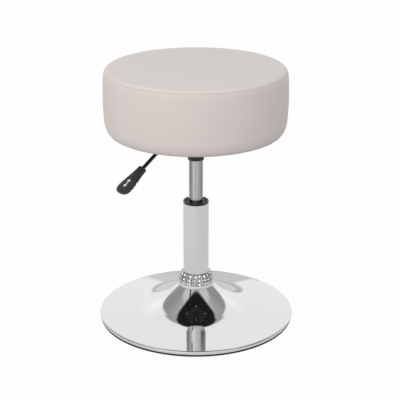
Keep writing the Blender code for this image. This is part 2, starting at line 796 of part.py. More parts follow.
def side_outline(inset, start):
    """Side of the cushion from the angle start on its top edge to the flat underside.

    The side swells to SEAT_RADIUS half way down and is drawn in to SEAT_EDGE at both edges.
    """
    top = (SEAT_EDGE - EDGE_REACH, SEAT_HEIGHT - CROWN - EDGE_DROP)
    bottom = (SEAT_FLAT, SEAT_BOTTOM + BOTTOM_RISE)
    points = oval(top, EDGE_REACH - inset, EDGE_DROP - inset, start, 0.0, BENDS - 1)
    for step in range(1, BENDS + 1):
        share = step / (BENDS + 1)
        swell = SIDE_DRAW * 4 * share * (1 - share)
        points.append((SEAT_EDGE + swell - inset, top[1] + (bottom[1] - top[1]) * share))
    reach, rise = BOTTOM_REACH - inset, BOTTOM_RISE - inset
    return points + oval(bottom, reach, rise, 0.0, -math.pi / 2, BENDS)


def make_cover_top():
    outline = crown_outline(0.0, SEAM_ANGLE + SEAM_OPENING / 2)
    return turned("cover_top", outline, LEATHERETTE, closed=False, wall=COVER, steps=FINE)


def make_cover_side():
    """Side band of the cover, turned under the board and stapled there."""
    outline = side_outline(0.0, SEAM_ANGLE - SEAM_OPENING / 2)
    outline.append((SEAT_FLAT - TURN_UNDER, SEAT_BOTTOM))
    return turned("cover_side", outline, LEATHERETTE, closed=False, wall=COVER, steps=FINE)


def make_seat_foam():
    """Foam that fills the cover and laps round the edge of the board."""
    inset = COVER + GAP
    recess = BOARD_RADIUS + GAP
    outline = crown_outline(inset, SEAM_ANGLE) + side_outline(inset, SEAM_ANGLE)[1:]
    outline += [(recess, BOARD_BOTTOM), (recess, BOARD_TOP + GAP), (0.0, BOARD_TOP + GAP)]
    return turned("seat_foam", outline, FOAM, closed=False, steps=FINE)


def in_heading(along, across, height):
    """World position of a point given along and across the lever."""
    turn = Matrix.Rotation(LEVER_HEADING, 3, "Z")
    return turn @ Vector((along, across, height))


def drill(obj, radius, bottom, top):
    """Drills the four bolt holes between two heights."""
    for index, (along, across) in enumerate(BOLT_PLACES):
        start, end = in_heading(along, across, bottom), in_heading(along, across, top)
        cut(obj, cylinder_cutter(f"{obj.name}_drill_{index + 1}", radius, start, end))
    return obj


def disc_outline(radius, bottom, top):
    """An open outline of a solid turned disc."""
    return [(0.0, top), (radius, top), (radius, bottom), (0.0, bottom)]


def make_seat_board():
    """Plywood disc, drilled and counterbored for the four tee nuts."""
    outline = disc_outline(BOARD_RADIUS, BOARD_BOTTOM, BOARD_TOP)
    board = turned("seat_board", outline, PLYWOOD, closed=False, steps=FINE)
    over = BOARD_TOP + BOARD_THICKNESS
    drill(board, NUT_BARREL_RADIUS + GAP, BOARD_BOTTOM - BOARD_THICKNESS, over)
    shelf = BOARD_TOP - NUT_FLANGE - GAP
    for index, (along, across) in enumerate(BOLT_PLACES):
        start, end = in_heading(along, across, shelf), in_heading(along, across, over)
        cut(board, cylinder_cutter(f"tee_nut_seat_{index + 1}", NUT_FLANGE_RADIUS + GAP, start, end))
    return board


def make_dust_cover():
    """Black fabric that closes the seat from below, held under the seat plate."""
    outline = disc_outline(DUST_RADIUS, DUST_BOTTOM, DUST_TOP)
    cover = turned("dust_cover", outline, DUST_FABRIC, closed=False, steps=FINE)
    return drill(cover, BOLT_RADIUS + GAP, DUST_BOTTOM - DUST_THICKNESS, DUST_TOP + DUST_THICKNESS)


# Seat plate and its fasteners


def make_seat_plate():
    """Square steel plate that carries the seat, with rounded corners and four holes."""
    shape = bmesh.new()
    bmesh.ops.create_cube(shape, size=1.0)
    bmesh.ops.scale(shape, vec=(PLATE_SIDE, PLATE_SIDE, PLATE_THICKNESS), verts=shape.verts)
    upright = [edge for edge in shape.edges if edge.verts[0].co.xy == edge.verts[1].co.xy]
    bmesh.ops.bevel(
        shape, geom=upright, offset=PLATE_CORNER, segments=4, profile=0.5, affect="EDGES"
    )
    mesh = bpy.data.meshes.new("seat_plate")
    shape.to_mesh(mesh)
    shape.free()
    plate = new_object("seat_plate", mesh, BLACK_PAINT)
    plate.location = (0.0, 0.0, (PLATE_TOP + PLATE_BOTTOM) / 2)
    plate.rotation_euler.z = LEVER_HEADING
    below, above = PLATE_BOTTOM - PLATE_THICKNESS, PLATE_TOP + PLATE_THICKNESS
    return drill(plate, BOLT_RADIUS + GAP, below, above)


def make_bolt(index, along, across):
    """Button head bolt, up through plate and board into its tee nut."""
    seat = PLATE_BOTTOM - GAP
    outline = rounded(
        [
            (0.0, BOARD_TOP - GAP),
            (BOLT_RADIUS, BOARD_TOP - GAP),
            (BOLT_RADIUS, seat),
            (BOLT_HEAD_RADIUS, seat),
            (BOLT_HEAD_RADIUS, seat - BOLT_HEAD, BOLT_HEAD / 2),
            (0.0, seat - BOLT_HEAD),
        ],
        steps=2,
    )
    bolt = turned(f"plate_bolt_{index}", outline, PLAIN_STEEL, closed=False, steps=COARSE)
    bolt.location = in_heading(along, across, 0.0)
    return bolt


def make_tee_nut(index, along, across):
    shoulder = BOARD_TOP - NUT_FLANGE
    bore = BOLT_RADIUS + GAP
    outline = [
        (bore, BOARD_TOP),
        (NUT_FLANGE_RADIUS, BOARD_TOP),
        (NUT_FLANGE_RADIUS, shoulder),
        (NUT_BARREL_RADIUS, shoulder),
        (NUT_BARREL_RADIUS, BOARD_TOP - NUT_LENGTH),
        (bore, BOARD_TOP - NUT_LENGTH),
    ]
    nut = turned(f"tee_nut_{index}", outline, PLAIN_STEEL, steps=COARSE)
    nut.location = in_heading(along, across, 0.0)
    return nut


# Lever, its housing and the hub


def taper_radius(height):
    """Outside of the gas cylinder's taper at this height."""
    return CYLINDER_RADIUS - TAPER_DROP * (height - HUB_BOTTOM) / (CYLINDER_TOP - HUB_BOTTOM)


def make_seat_hub():
    """Tapered socket under the housing that the gas cylinder wedges into."""
    outline = rounded(
        [
            (taper_radius(HUB_TOP) + GAP, HUB_TOP),
            (HUB_RADIUS, HUB_TOP),
            (HUB_RADIUS, HUB_BOTTOM, HUB_WALL),
            (taper_radius(HUB_BOTTOM) + GAP, HUB_BOTTOM),
        ],
        steps=2,
    )
    return turned("seat_hub", outline, BLACK_PAINT)


def make_lever_housing():
    """Folded channel under the seat plate, open at both ends, with the hub in its floor."""
    side, wall = HOUSING_WIDTH / 2, HOUSING_WALL
    outside = [
        (side, HOUSING_BOTTOM, 2 * wall),
        (-side, HOUSING_BOTTOM, 2 * wall),
        (-side, HOUSING_TOP),
    ]
    inside = [
        (wall - side, HOUSING_TOP),
        (wall - side, HOUSING_FLOOR, wall),
        (side - wall, HOUSING_FLOOR, wall),
        (side - wall, HOUSING_TOP),
    ]
    section = rounded([(side, HOUSING_TOP), *outside, *inside])
    shape = bmesh.new()
    face = shape.faces.new([shape.verts.new((-HOUSING_BACK, y, z)) for y, z in section])
    grown = bmesh.ops.extrude_face_region(shape, geom=[face])["geom"]
    end = [item for item in grown if isinstance(item, bmesh.types.BMVert)]
    bmesh.ops.translate(shape, vec=(HOUSING_BACK + HOUSING_FRONT, 0, 0), verts=end)
    bmesh.ops.recalc_face_normals(shape, faces=shape.faces)
    mesh = bpy.data.meshes.new("lever_housing")
    shape.to_mesh(mesh)
    shape.free()
    housing = new_object("lever_housing", mesh, BLACK_PAINT)
    housing.rotation_euler.z = LEVER_HEADING
    pivot_hole = cylinder_cutter(
        "pivot_hole",
        PIVOT_RADIUS + GAP,
        in_heading(PIVOT_OFFSET, -HOUSING_WIDTH, LEVER_HEIGHT),
        in_heading(PIVOT_OFFSET, HOUSING_WIDTH, LEVER_HEIGHT),
    )
    hub_hole = cylinder_cutter(
        "hub_hole",
        HUB_RADIUS + GAP,
        (0.0, 0.0, HOUSING_BOTTOM - HOUSING_WALL),
        (0.0, 0.0, HOUSING_FLOOR + HOUSING_WALL),
        MEDIUM,
    )
    return cut(housing, pivot_hole, hub_hole)


def across_lever(obj, across=0.0):
    """Lays a turned piece along the lever's pivot axis."""
    upright = Matrix.Rotation(-math.pi / 2, 4, "X")
    heading = Matrix.Rotation(LEVER_HEADING, 4, "Z")
    place = in_heading(PIVOT_OFFSET, across, LEVER_HEIGHT)
    obj.matrix_world = Matrix.Translation(place) @ heading @ upright
    return obj


def make_pivot_pin():
    """Pin through both walls of the housing, with a head at each end."""
    face = HOUSING_WIDTH / 2 + GAP
    outline = rounded(
        [
            (0.0, face + PIVOT_HEAD),
            (PIVOT_HEAD_RADIUS, face + PIVOT_HEAD, EDGE_BREAK),
            (PIVOT_HEAD_RADIUS, face),
            (PIVOT_RADIUS, face),
            (PIVOT_RADIUS, -face),
            (PIVOT_HEAD_RADIUS, -face),
            (PIVOT_HEAD_RADIUS, -face - PIVOT_HEAD, EDGE_BREAK),
            (0.0, -face - PIVOT_HEAD),
        ],
        steps=1,
    )
    return across_lever(turned("pivot_pin", outline, PLAIN_STEEL, closed=False, steps=COARSE))


def make_pivot_spacer(index, side):
    """Sleeve on the pin that keeps the lever in the middle of the housing."""
    start = EYE_WIDTH / 2 + GAP
    length = HOUSING_WIDTH / 2 - HOUSING_WALL - GAP - start
    bore = PIVOT_RADIUS + GAP
    outline = ring_outline(bore, bore + SPACER_WALL, -length / 2, length / 2)
    spacer = turned(f"pivot_spacer_{index}", outline, PLAIN_STEEL, steps=COARSE)
    return across_lever(spacer, side * (start + length / 2))


def lever_place(along, rise=0.0):
    """World frame at a point of the lever, with X along it."""
    heading = Matrix.Rotation(LEVER_HEADING, 4, "Z")
    return Matrix.Translation(in_heading(along, 0.0, LEVER_HEIGHT + rise)) @ heading


def make_lever_rod():
    """Round rod with a flat eye for the pivot, bent down towards the handle."""
    droop = Vector((math.cos(LEVER_DROOP), -math.sin(LEVER_DROOP)))
    corner = Vector((BEND_REACH, 0.0))
    end = corner + droop * (ROD_REACH + ROD_INSET)
    path = rounded([(-LEVER_TOE, 0.0), (*corner, BEND_RADIUS), tuple(end)], steps=6)
    curve = bpy.data.curves.new("lever_rod", "CURVE")
    curve.dimensions = "3D"
    curve.bevel_depth = LEVER_ROD_RADIUS
    curve.bevel_resolution = 3
    curve.use_fill_caps = True
    spline = curve.splines.new("POLY")
    spline.points.add(len(path) - 1)
    for point, (along, rise) in zip(spline.points, path):
        point.co = (along, 0.0, rise, 1.0)
    line = bpy.data.objects.new("lever_line", curve)
    STOOL.objects.link(line)
    line.matrix_world = lever_place(0.0)
    rod = applied(line, "lever_rod", BLACK_PAINT)
    half = EYE_WIDTH / 2
    eye = cylinder_cutter(
        "lever_eye",
        EYE_RADIUS,
        in_heading(PIVOT_OFFSET, -half, LEVER_HEIGHT),
        in_heading(PIVOT_OFFSET, half, LEVER_HEIGHT),
    )
    bore = cylinder_cutter(
        "lever_bore",
        PIVOT_RADIUS + RUN,
        in_heading(PIVOT_OFFSET, -EYE_WIDTH, LEVER_HEIGHT),
        in_heading(PIVOT_OFFSET, EYE_WIDTH, LEVER_HEIGHT),
    )
    combine(rod, eye, "UNION")
    return cut(rod, bore)


def handle_section(share):
    """Half width and half thickness of the handle at this share of its length."""
    rise = min(share / HANDLE_SWELL, 1.0)
    swell = rise * rise * (3 - 2 * rise)
    width = HANDLE_NECK_WIDTH + (HANDLE_WIDTH - HANDLE_NECK_WIDTH) * swell
    thickness = HANDLE_NECK_THICKNESS + (HANDLE_THICKNESS - HANDLE_NECK_THICKNESS) * swell
    tip = max(share - HANDLE_SWELL, 0.0) / (1 - HANDLE_SWELL)
    taper = max(1 - tip**HANDLE_BLUNT, 0.0) ** (1 / HANDLE_BLUNT)
    return width / 2 * taper, thickness / 2 * (HANDLE_TIP + (1 - HANDLE_TIP) * taper)


def make_lever_handle():
    """Moulded paddle, lofted from a stout neck to a wide rounded end, with grips underneath."""
    shape = bmesh.new()
    loops = []
    for share in HANDLE_STATIONS:
        wide, thick = handle_section(share)
        ring = bmesh.ops.create_circle(shape, segments=HANDLE_SIDES, radius=1.0)["verts"]
        for vert in ring:
            x, y = vert.co.x, vert.co.y
            round_off = (abs(x) ** 3 + abs(y) ** 3) ** (1 / 3)
            vert.co = (share * HANDLE_LENGTH, wide * x / round_off, thick * y / round_off)
        loops.append(ring)
    for ring, following in zip(loops, loops[1:]):
        pair = set(ring) | set(following)
        edges = [edge for edge in shape.edges if set(edge.verts) <= pair]
        edges = [edge for edge in edges if (edge.verts[0] in ring) == (edge.verts[1] in ring)]
        bmesh.ops.bridge_loops(shape, edges=edges)
    shape.faces.new(loops[0])
    shape.faces.new(loops[-1])
    bmesh.ops.recalc_face_normals(shape, faces=shape.faces)
    mesh = bpy.data.meshes.new("lever_handle")
    shape.to_mesh(mesh)
    shape.free()
    mesh.shade_smooth()
    mesh.set_sharp_from_angle(angle=SHARP)
    handle = new_object("lever_handle", mesh, BLACK_PLASTIC)
    droop = Matrix.Rotation(LEVER_DROOP, 4, "Y")
    place = lever_place(BEND_REACH) @ droop @ Matrix.Translation((ROD_REACH, 0.0, 0.0))
    handle.matrix_world = place
    bore = cylinder_cutter(
        "handle_bore",
        LEVER_ROD_RADIUS + GAP,
        place @ Vector((-ROD_INSET, 0.0, 0.0)),
        place @ Vector((ROD_INSET + GAP, 0.0, 0.0)),
    )
    cut(handle, bore)
    for index in range(GRIP_COUNT):
        along = HANDLE_LENGTH * (GRIP_START + GRIP_PITCH * index)
        below = -HANDLE_THICKNESS / 2 - GRIP_RADIUS + GRIP_DEPTH
        grip = cylinder_cutter(
            f"grip_{index + 1}",
            GRIP_RADIUS,
            place @ Vector((along, -HANDLE_WIDTH, below)),
            place @ Vector((along, HANDLE_WIDTH, below)),
        )
        cut(handle, grip)
    return handle


def make_stool():
    """All pieces, each held by the empty of the body that it moves with."""
    base_body = new_empty("base_body", (0.0, 0.0, 0.0))
    rod_body = new_empty("rod_body", (0.0, 0.0, COLLAR_BOTTOM))
    seat_body = new_empty("seat_body", (0.0, 0.0, HUB_BOTTOM), LEVER_HEADING)
    lever_body = new_empty("lever_body", in_heading(PIVOT_OFFSET, 0.0, LEVER_HEIGHT), LEVER_HEADING)
    pin_body = new_empty("pin_body", (0.0, 0.0, PIN_TOP))
    rod_body.parent = base_body
    hold(seat_body, rod_body)
    hold(lever_body, seat_body)
    hold(pin_body, seat_body)
    foot, waist, shoulder, crown = ring_beds()
    bodies = {
        base_body: [
            make_rubber_rim(),
            make_base_shell(),
            make_base_weight(),
            make_base_socket(),
            make_column_tube(),
            make_guide_bush(),
            make_ring_collar(),
            make_stone_row("crystal_row_lower", foot, waist),
            make_stone_row("crystal_row_upper", waist, shoulder),
            make_stone_row("crystal_row_top", shoulder, crown),
            make_end_plate(),
            make_bearing_washer("thrust_washer_lower", LOWER_WASHER),
            make_ball_cage(),
        ],
        rod_body: [
            make_bearing_washer("thrust_washer_upper", UPPER_WASHER),
            make_buffer(),
            make_piston_rod(),
            make_piston(),
            make_piston_seal(),
            make_rod_clip(),
        ],
        seat_body: [
            make_gas_cylinder(),
            make_rod_gland(),
            make_valve_body(),
            make_seat_hub(),
            make_lever_housing(),
            make_pivot_pin(),
            make_pivot_spacer(1, -1),
            make_pivot_spacer(2, 1),
            make_seat_plate(),
            make_seat_board(),
            make_dust_cover(),
            make_seat_foam(),
            make_cover_side(),
            make_cover_top(),
        ],
        lever_body: [make_lever_rod(), make_lever_handle()],
        pin_body: [make_release_pin()],
    }
    for index, (along, across) in enumerate(BOLT_PLACES, 1):
        bodies[seat_body].append(make_bolt(index, along, across))
        bodies[seat_body].append(make_tee_nut(index, along, across))
    bpy.context.view_layer.update()
    for body, pieces in bodies.items():
        for piece in pieces:
            hold(piece, body)


make_stool()
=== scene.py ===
# %% [markdown]
# # A vanity stool, dressed
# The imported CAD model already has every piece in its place, and the bodies that move. This lesson loads it
# as a frame, makes finer pieces for all that the eye meets, and gives each one the finish of its material.
# Lengths are metres, +Z is up, and the camera looks along +Y.

# %% Load the frame
from math import atan2, cos, exp, hypot, pi, radians, sin, tan, tau

import bmesh
import bpy
from mathutils import Matrix, Vector, interpolate, noise
from mathutils.bvhtree import BVHTree


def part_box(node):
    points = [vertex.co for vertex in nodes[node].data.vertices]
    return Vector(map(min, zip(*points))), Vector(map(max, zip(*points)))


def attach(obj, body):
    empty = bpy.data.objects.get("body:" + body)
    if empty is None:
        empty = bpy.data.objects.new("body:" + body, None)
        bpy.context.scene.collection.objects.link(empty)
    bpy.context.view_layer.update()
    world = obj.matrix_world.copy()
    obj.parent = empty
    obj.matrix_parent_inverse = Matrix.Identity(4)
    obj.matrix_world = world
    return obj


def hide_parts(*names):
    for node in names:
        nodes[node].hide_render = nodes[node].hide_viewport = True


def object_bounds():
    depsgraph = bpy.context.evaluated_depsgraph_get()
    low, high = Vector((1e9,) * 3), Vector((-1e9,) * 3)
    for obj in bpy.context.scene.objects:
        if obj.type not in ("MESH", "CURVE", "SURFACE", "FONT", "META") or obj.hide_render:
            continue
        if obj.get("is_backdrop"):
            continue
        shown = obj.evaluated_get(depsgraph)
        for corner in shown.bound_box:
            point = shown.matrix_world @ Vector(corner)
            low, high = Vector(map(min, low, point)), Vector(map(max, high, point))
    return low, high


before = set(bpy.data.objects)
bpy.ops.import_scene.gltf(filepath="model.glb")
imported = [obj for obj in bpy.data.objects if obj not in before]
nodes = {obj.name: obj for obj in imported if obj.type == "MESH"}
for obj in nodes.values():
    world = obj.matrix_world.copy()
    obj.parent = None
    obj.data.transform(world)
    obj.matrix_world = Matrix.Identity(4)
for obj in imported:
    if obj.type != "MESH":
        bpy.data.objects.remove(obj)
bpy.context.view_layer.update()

# %% [markdown]
# ## The camera
# The seat and the base are circles, so their ellipses in the picture give the camera's tilt and distance.
# A long lens, about a metre above the floor and two metres away, fits both of them.

# %% Camera
camera = bpy.data.objects.new("camera", bpy.data.cameras.new("camera"))
camera.data.sensor_width = 36.0
camera.data.lens = 107.35
camera.location = (0.0080, -2.2183, 1.0692)
camera.rotation_euler = (radians(90 - 20.344), 0.0, 0.0)
bpy.context.collection.objects.link(camera)
bpy.context.scene.camera = camera
bpy.context.scene.view_settings.view_transform = "Standard"
print("camera at", tuple(camera.location))

# %% [markdown]
# ## Small tools
# Shaders count in linear light, while colours are read off a picture in sRGB, so one function converts
# them. A second one adds a node with its settings and links. Common nodes get a short function built on it.

# %% Colours and nodes
def linear(code):
    """An sRGB hex colour as linear red, green, blue and alpha."""
    parts = [int(code[start : start + 2], 16) / 255 for start in (1, 3, 5)]
    return (*[p / 12.92 if p <= 0.04045 else ((p + 0.055) / 1.055) ** 2.4 for p in parts], 1.0)


def add(tree, kind, inputs=None, stops=(), **settings):
    """Adds a node, of a shader unless its kind says more. Inputs are values, outputs or nodes by socket."""
    node = tree.nodes.new(kind if "Node" in kind else "ShaderNode" + kind)
    for name, value in settings.items():
        setattr(node, name, value)
    for socket, value in (inputs or {}).items():
        if isinstance(value, bpy.types.Node):
            value = value.outputs[0]
        if isinstance(value, bpy.types.NodeSocket):
            tree.links.new(value, node.inputs[socket])
        else:
            node.inputs[socket].default_value = value
    for index, (position, grey) in enumerate(stops):  # of a colour ramp
        ramp = node.color_ramp.elements
        element = ramp[index] if index < 2 else ramp.new(position)
        element.position = position
        element.color = (grey, grey, grey, 1.0)
    return node


def maths(tree, operation, *values):
    """The result of a sum with numbers."""
    return add(tree, "Math", dict(enumerate(values)), operation=operation).outputs[0]


def vector_maths(tree, operation, *values, **named):
    """The result of a sum with vectors."""
    node = add(tree, "VectorMath", {**dict(enumerate(values)), **named}, operation=operation)
    return node.outputs["Value" if operation in ("LENGTH", "DISTANCE", "DOT_PRODUCT") else "Vector"]


def ranged(tree, value, start, end, low=0.0, high=1.0):
    """A number that runs from low to high while the value runs from start to end."""
    return add(tree, "MapRange", {0: value, 1: start, 2: end, 3: low, 4: high}).outputs[0]


def blend(tree, share, first, second, **settings):
    """A mix of two colours."""
    return add(tree, "Mix", {0: share, 6: first, 7: second}, data_type="RGBA", **settings).outputs[2]


print("mid grey", [round(part, 3) for part in linear("#808080")])

# %% [markdown]
# A finish starts from typical values. Patterns then vary its colour, its roughness or its relief. They are fixed
# to the piece, and their sizes are those of the real thing, in metres.

# %% Finishes
def new_finish(name, colour, roughness, metallic=0.0, **more):
    """A material with its tree, its shader and the coordinates of its patterns."""
    made = bpy.data.materials.new(name)
    made.use_nodes = True
    tree = made.node_tree
    shader = tree.nodes["Principled BSDF"]
    values = {"Base Color": linear(colour), "Roughness": roughness, "Metallic": metallic, **more}
    for socket, value in values.items():
        shader.inputs[socket].default_value = value
    return made, tree, shader, add(tree, "TexCoord").outputs["Object"]


def clouds(place, size, detail=2.0):
    """Noise with patches of about this size."""
    settings = {"Vector": place, "Scale": 1 / size, "Detail": detail}
    return add(place.id_data, "TexNoise", settings).outputs[0]


def tint(shader, share, dark, light):
    """Lets the colour run from dark to light."""
    tree = shader.id_data
    tree.links.new(blend(tree, share, linear(dark), linear(light)), shader.inputs["Base Color"])


def dull(shader, share, low, high):
    """Lets the roughness run from low to high."""
    tree = shader.id_data
    tree.links.new(ranged(tree, share, 0.0, 1.0, low, high), shader.inputs["Roughness"])


def emboss(shader, height, strength, depth, **settings):
    """Gives the surface a relief of this depth."""
    tree = shader.id_data
    bump = add(tree, "Bump", {"Height": height, "Strength": strength, "Distance": depth}, **settings)
    tree.links.new(bump.outputs[0], shader.inputs["Normal"])


# %% [markdown]
# ## Metals
# Chrome plate mirrors the room. It shows little of its own but a faint haze where a cloth has wiped it, and a
# slow ripple of the spun sheet below it. Both are some centimetres across.

# %% Chrome plate
# Polished and plated: a clear mirror, a little darker than the room, with hazy patches.
chrome, tree, shader, place = new_finish("polished_chrome_plate", "#E3E3E3", 0.03, 1.0)
dull(shader, clouds(place, 0.035, 4.0), 0.012, 0.05)
emboss(shader, clouds(place, 0.05, 1.0), 0.05, 0.001)

# %% Drawn tube of the gas lift
# Drawn and hard chromed: the draw lines run lengthways, some millimetres apart, and break the light into streaks.
drawn_tube, tree, shader, place = new_finish("drawn_hard_chromed_tube", "#A9A9A8", 0.2, 1.0)
stretch = {"Vector": place, "Location": (0.04, 0.28, 0.0), "Scale": (1.0, 1.0, 0.004)}
lines = clouds(add(tree, "Mapping", stretch), 0.0045, 3.0)
tint(shader, ranged(tree, lines, 0.36, 0.64), "#707070", "#E2E2E2")
dull(shader, lines, 0.12, 0.3)
emboss(shader, lines, 0.25, 0.0004)

# %% Zinc plated steel
# Small hardware and the pieces inside the lift: a dull bluish grey with cloudy spangle some millimetres wide.
zinc, tree, shader, place = new_finish("zinc_plated_steel", "#AEB2B6", 0.35, 1.0)
spangle = clouds(place, 0.004, 4.0)
tint(shader, spangle, "#8F9499", "#CDD0D2")
dull(shader, spangle, 0.26, 0.46)
print("metals:", chrome.name, drawn_tube.name, zinc.name)

# %% [markdown]
# ## Blacks
# Five blacks meet on this stool, and the eye tells them apart by gloss and texture: the small even waves of a
# melted powder, the grain or the gloss of a mould, dusty rubber, and a felt of bonded threads.

# %% Powder coat
# Sprayed as powder and baked: satin, with an orange peel of about two millimetres.
powder_coat, tree, shader, place = new_finish("black_powder_coat", "#1B1B1C", 0.42)
emboss(shader, clouds(place, 0.002, 1.0), 0.3, 0.0002)
dull(shader, clouds(place, 0.02, 3.0), 0.34, 0.5)

# %% Moulded plastics
# Polypropylene handle from a spark eroded mould: a fine dull grain of 0.7 mm, charcoal in the light.
grained_plastic, tree, shader, place = new_finish("moulded_polypropylene", "#2B2B2C", 0.5)
grain = add(tree, "TexVoronoi", {"Vector": place, "Scale": 1 / 0.0007})
emboss(shader, grain, 0.35, 0.0002)
tint(shader, clouds(place, 0.012, 3.0), "#232324", "#343435")

# Nylon bush from a polished mould: nearly black, glossy, with faint flow clouds.
glossy_plastic, tree, shader, place = new_finish("moulded_nylon", "#18181A", 0.1)
dull(shader, clouds(place, 0.008, 3.0), 0.05, 0.16)

# %% Rubber
# Extruded rubber: a dull black that greys a little where dust settles in its pores.
rubber, tree, shader, place = new_finish("extruded_rubber", "#191919", 0.7)
dust = clouds(place, 0.006, 6.0)
tint(shader, dust, "#131313", "#232322")
emboss(shader, dust, 0.2, 0.0002)

# %% Dust cover fabric
# Spun threads pressed together by a roll of points: a dull felt with rows of dots three millimetres apart.
fuzz = {"Sheen Weight": 0.12, "Sheen Roughness": 0.6}
felt, tree, shader, place = new_finish("spunbond_felt", "#161616", 0.95, **fuzz)
dots = add(tree, "TexVoronoi", {"Vector": place, "Scale": 1 / 0.003, "Randomness": 0.15})
threads = clouds(place, 0.0012, 4.0)
emboss(shader, maths(tree, "ADD", dots, threads), 0.5, 0.0003)
tint(shader, threads, "#0A0A0A", "#1A1A1A")
print("blacks:", powder_coat.name, grained_plastic.name, glossy_plastic.name, rubber.name, felt.name)

# %% [markdown]
# ## Leatherette, thread and the rest
# The cover is embossed with a small pebble grain. In the picture it is too fine to count, so it only softens the
# highlight. A slow change of tone keeps the wide panels from looking painted.

# %% Leatherette
# Embossed polyurethane: satin, warm pale grey, with pebbles of 1.6 mm and creases between them.
leatherette, tree, shader, place = new_finish("embossed_leatherette", "#D8D1CC", 0.5, **{"Specular IOR Level": 0.35})
pebbles = add(tree, "TexVoronoi", {"Vector": place, "Scale": 1 / 0.0016}, feature="SMOOTH_F1")
grain = maths(tree, "MULTIPLY_ADD", clouds(place, 0.0006), 0.3, pebbles)
emboss(shader, grain, 0.12, 0.0002, invert=True)
tint(shader, clouds(place, 0.05), "#D5CEC9", "#DAD3CE")
dull(shader, pebbles, 0.46, 0.6)

# %% Thread and ink
# Twisted polyester: a little darker than the cover, with a soft sheen.
thread, tree, shader, place = new_finish("twisted_thread", "#BFB8B2", 0.7, **{"Sheen Weight": 0.3})
tint(shader, clouds(place, 0.0005), "#A9A29C", "#CFC8C2")

# Pad printed ink: flat white, thin in places.
ink, tree, shader, place = new_finish("pad_printed_ink", "#E4E4E2", 0.55)
tint(shader, clouds(place, 0.001), "#C9C9C7", "#F2F2F0")

# %% Cut glass
# Lead glass, ground and polished: clear, strongly refracting, with the faintest haze on worn facets.
clear = {"IOR": 1.7, "Transmission Weight": 1.0}
cut_glass, tree, shader, place = new_finish("cut_lead_glass", "#FCFDFE", 0.0, **clear)
dull(shader, clouds(place, 0.002), 0.0, 0.04)

# %% Plywood
# Birch plies 1.5 mm thick: long grain on the faces, dark and pale bands round the edge.
plywood, tree, shader, place = new_finish("birch_plywood", "#C9A67A", 0.65)
plies = add(tree, "TexWave", {"Vector": place, "Scale": 1 / (0.0015 * 6.28)}, bands_direction="Z")
along = add(tree, "Mapping", {"Vector": place, "Scale": (1.0, 14.0, 1.0)})
layers = blend(tree, plies.outputs[1], linear("#A67F52"), linear("#D9BC92"))
tone = blend(tree, clouds(along, 0.05, 6.0), linear("#B48E60"), layers)
tree.links.new(tone, shader.inputs["Base Color"])
print("others:", leatherette.name, thread.name, ink.name, cut_glass.name, plywood.name)

# %% [markdown]
# ## A lathe made of nodes
# Most of this stool is round. A Screw modifier could spin the outlines. Here a geometry tree does it, because it
# also merges the axis and sets the finish: the outline becomes the profile of a sweep round a circle.

# %% Trees and plain meshes
def new_tree(name, **sizes):
    """A geometry tree and its named inputs."""
    tree = bpy.data.node_groups.new(name, "GeometryNodeTree")
    for label, kind in {"Geometry": "Geometry", **sizes}.items():
        tree.interface.new_socket(label, in_out="INPUT", socket_type="NodeSocket" + kind)
    tree.interface.new_socket("Geometry", in_out="OUTPUT", socket_type="NodeSocketGeometry")
    return tree, tree.nodes.new("NodeGroupInput").outputs


def close_tree(tree, given, geometry):
    """Ends a tree in Realize Instances and Set Material, so that its result is a plain mesh."""
    real = add(tree, "GeometryNodeRealizeInstances", {"Geometry": geometry})
    painted = add(tree, "GeometryNodeSetMaterial", {"Geometry": real, "Material": given["Finish"]})
    add(tree, "NodeGroupOutput", {"Geometry": painted})


def new_object(name, data):
    """An object at the origin."""
    made = bpy.data.objects.new(name, data)
    bpy.context.collection.objects.link(made)
    return made


def plain_mesh(name, shape, *finish):
    """A shape that was built point by point, as a mesh."""
    mesh = bpy.data.meshes.new(name)
    shape.to_mesh(mesh)
    shape.free()
    for material in finish:
        mesh.materials.append(material)
    return mesh


def bridge(shape, loops):
    """Faces between neighbouring loops of points."""
    for low, high in zip(loops, loops[1:]):
        for i in range(len(low)):
            shape.faces.new((low[i - 1], low[i], high[i], high[i - 1]))


def new_piece(name, mesh, sharp=35.0):
    """A mesh as an object, smooth but for edges that bend more than sharp degrees."""
    mesh.name = name
    mesh.shade_smooth()
    mesh.set_sharp_from_angle(angle=radians(sharp))
    return new_object(name, mesh)


def result(thing):
    """The plain mesh that the modifiers of an object make."""
    return bpy.data.meshes.new_from_object(thing.evaluated_get(bpy.context.evaluated_depsgraph_get()))


def outward(mesh):
    """Turns a closed mesh right side out."""
    shape = bmesh.new()
    shape.from_mesh(mesh)
    bmesh.ops.remove_doubles(shape, verts=shape.verts, dist=1e-7)
    if shape.calc_volume(signed=True) < 0:
        bmesh.ops.reverse_faces(shape, faces=shape.faces)
    shape.to_mesh(mesh)
    shape.free()
    return mesh


def grow(tree, seed, **sizes):
    """The plain mesh that a geometry tree makes of the mesh seed."""
    source = new_object("seed", seed)
    step = source.modifiers.new("grow", "NODES")
    step.node_group = tree
    sockets = {item.name: item.identifier for item in tree.interface.items_tree if item.in_out == "INPUT"}
    for label, value in sizes.items():
        step[sockets[label]] = value
    mesh = result(source)
    bpy.data.objects.remove(source)
    return mesh


# %% The lathe
SPINDLE = 0.1  # radius of the guide circle, which the outline's own radii are counted from

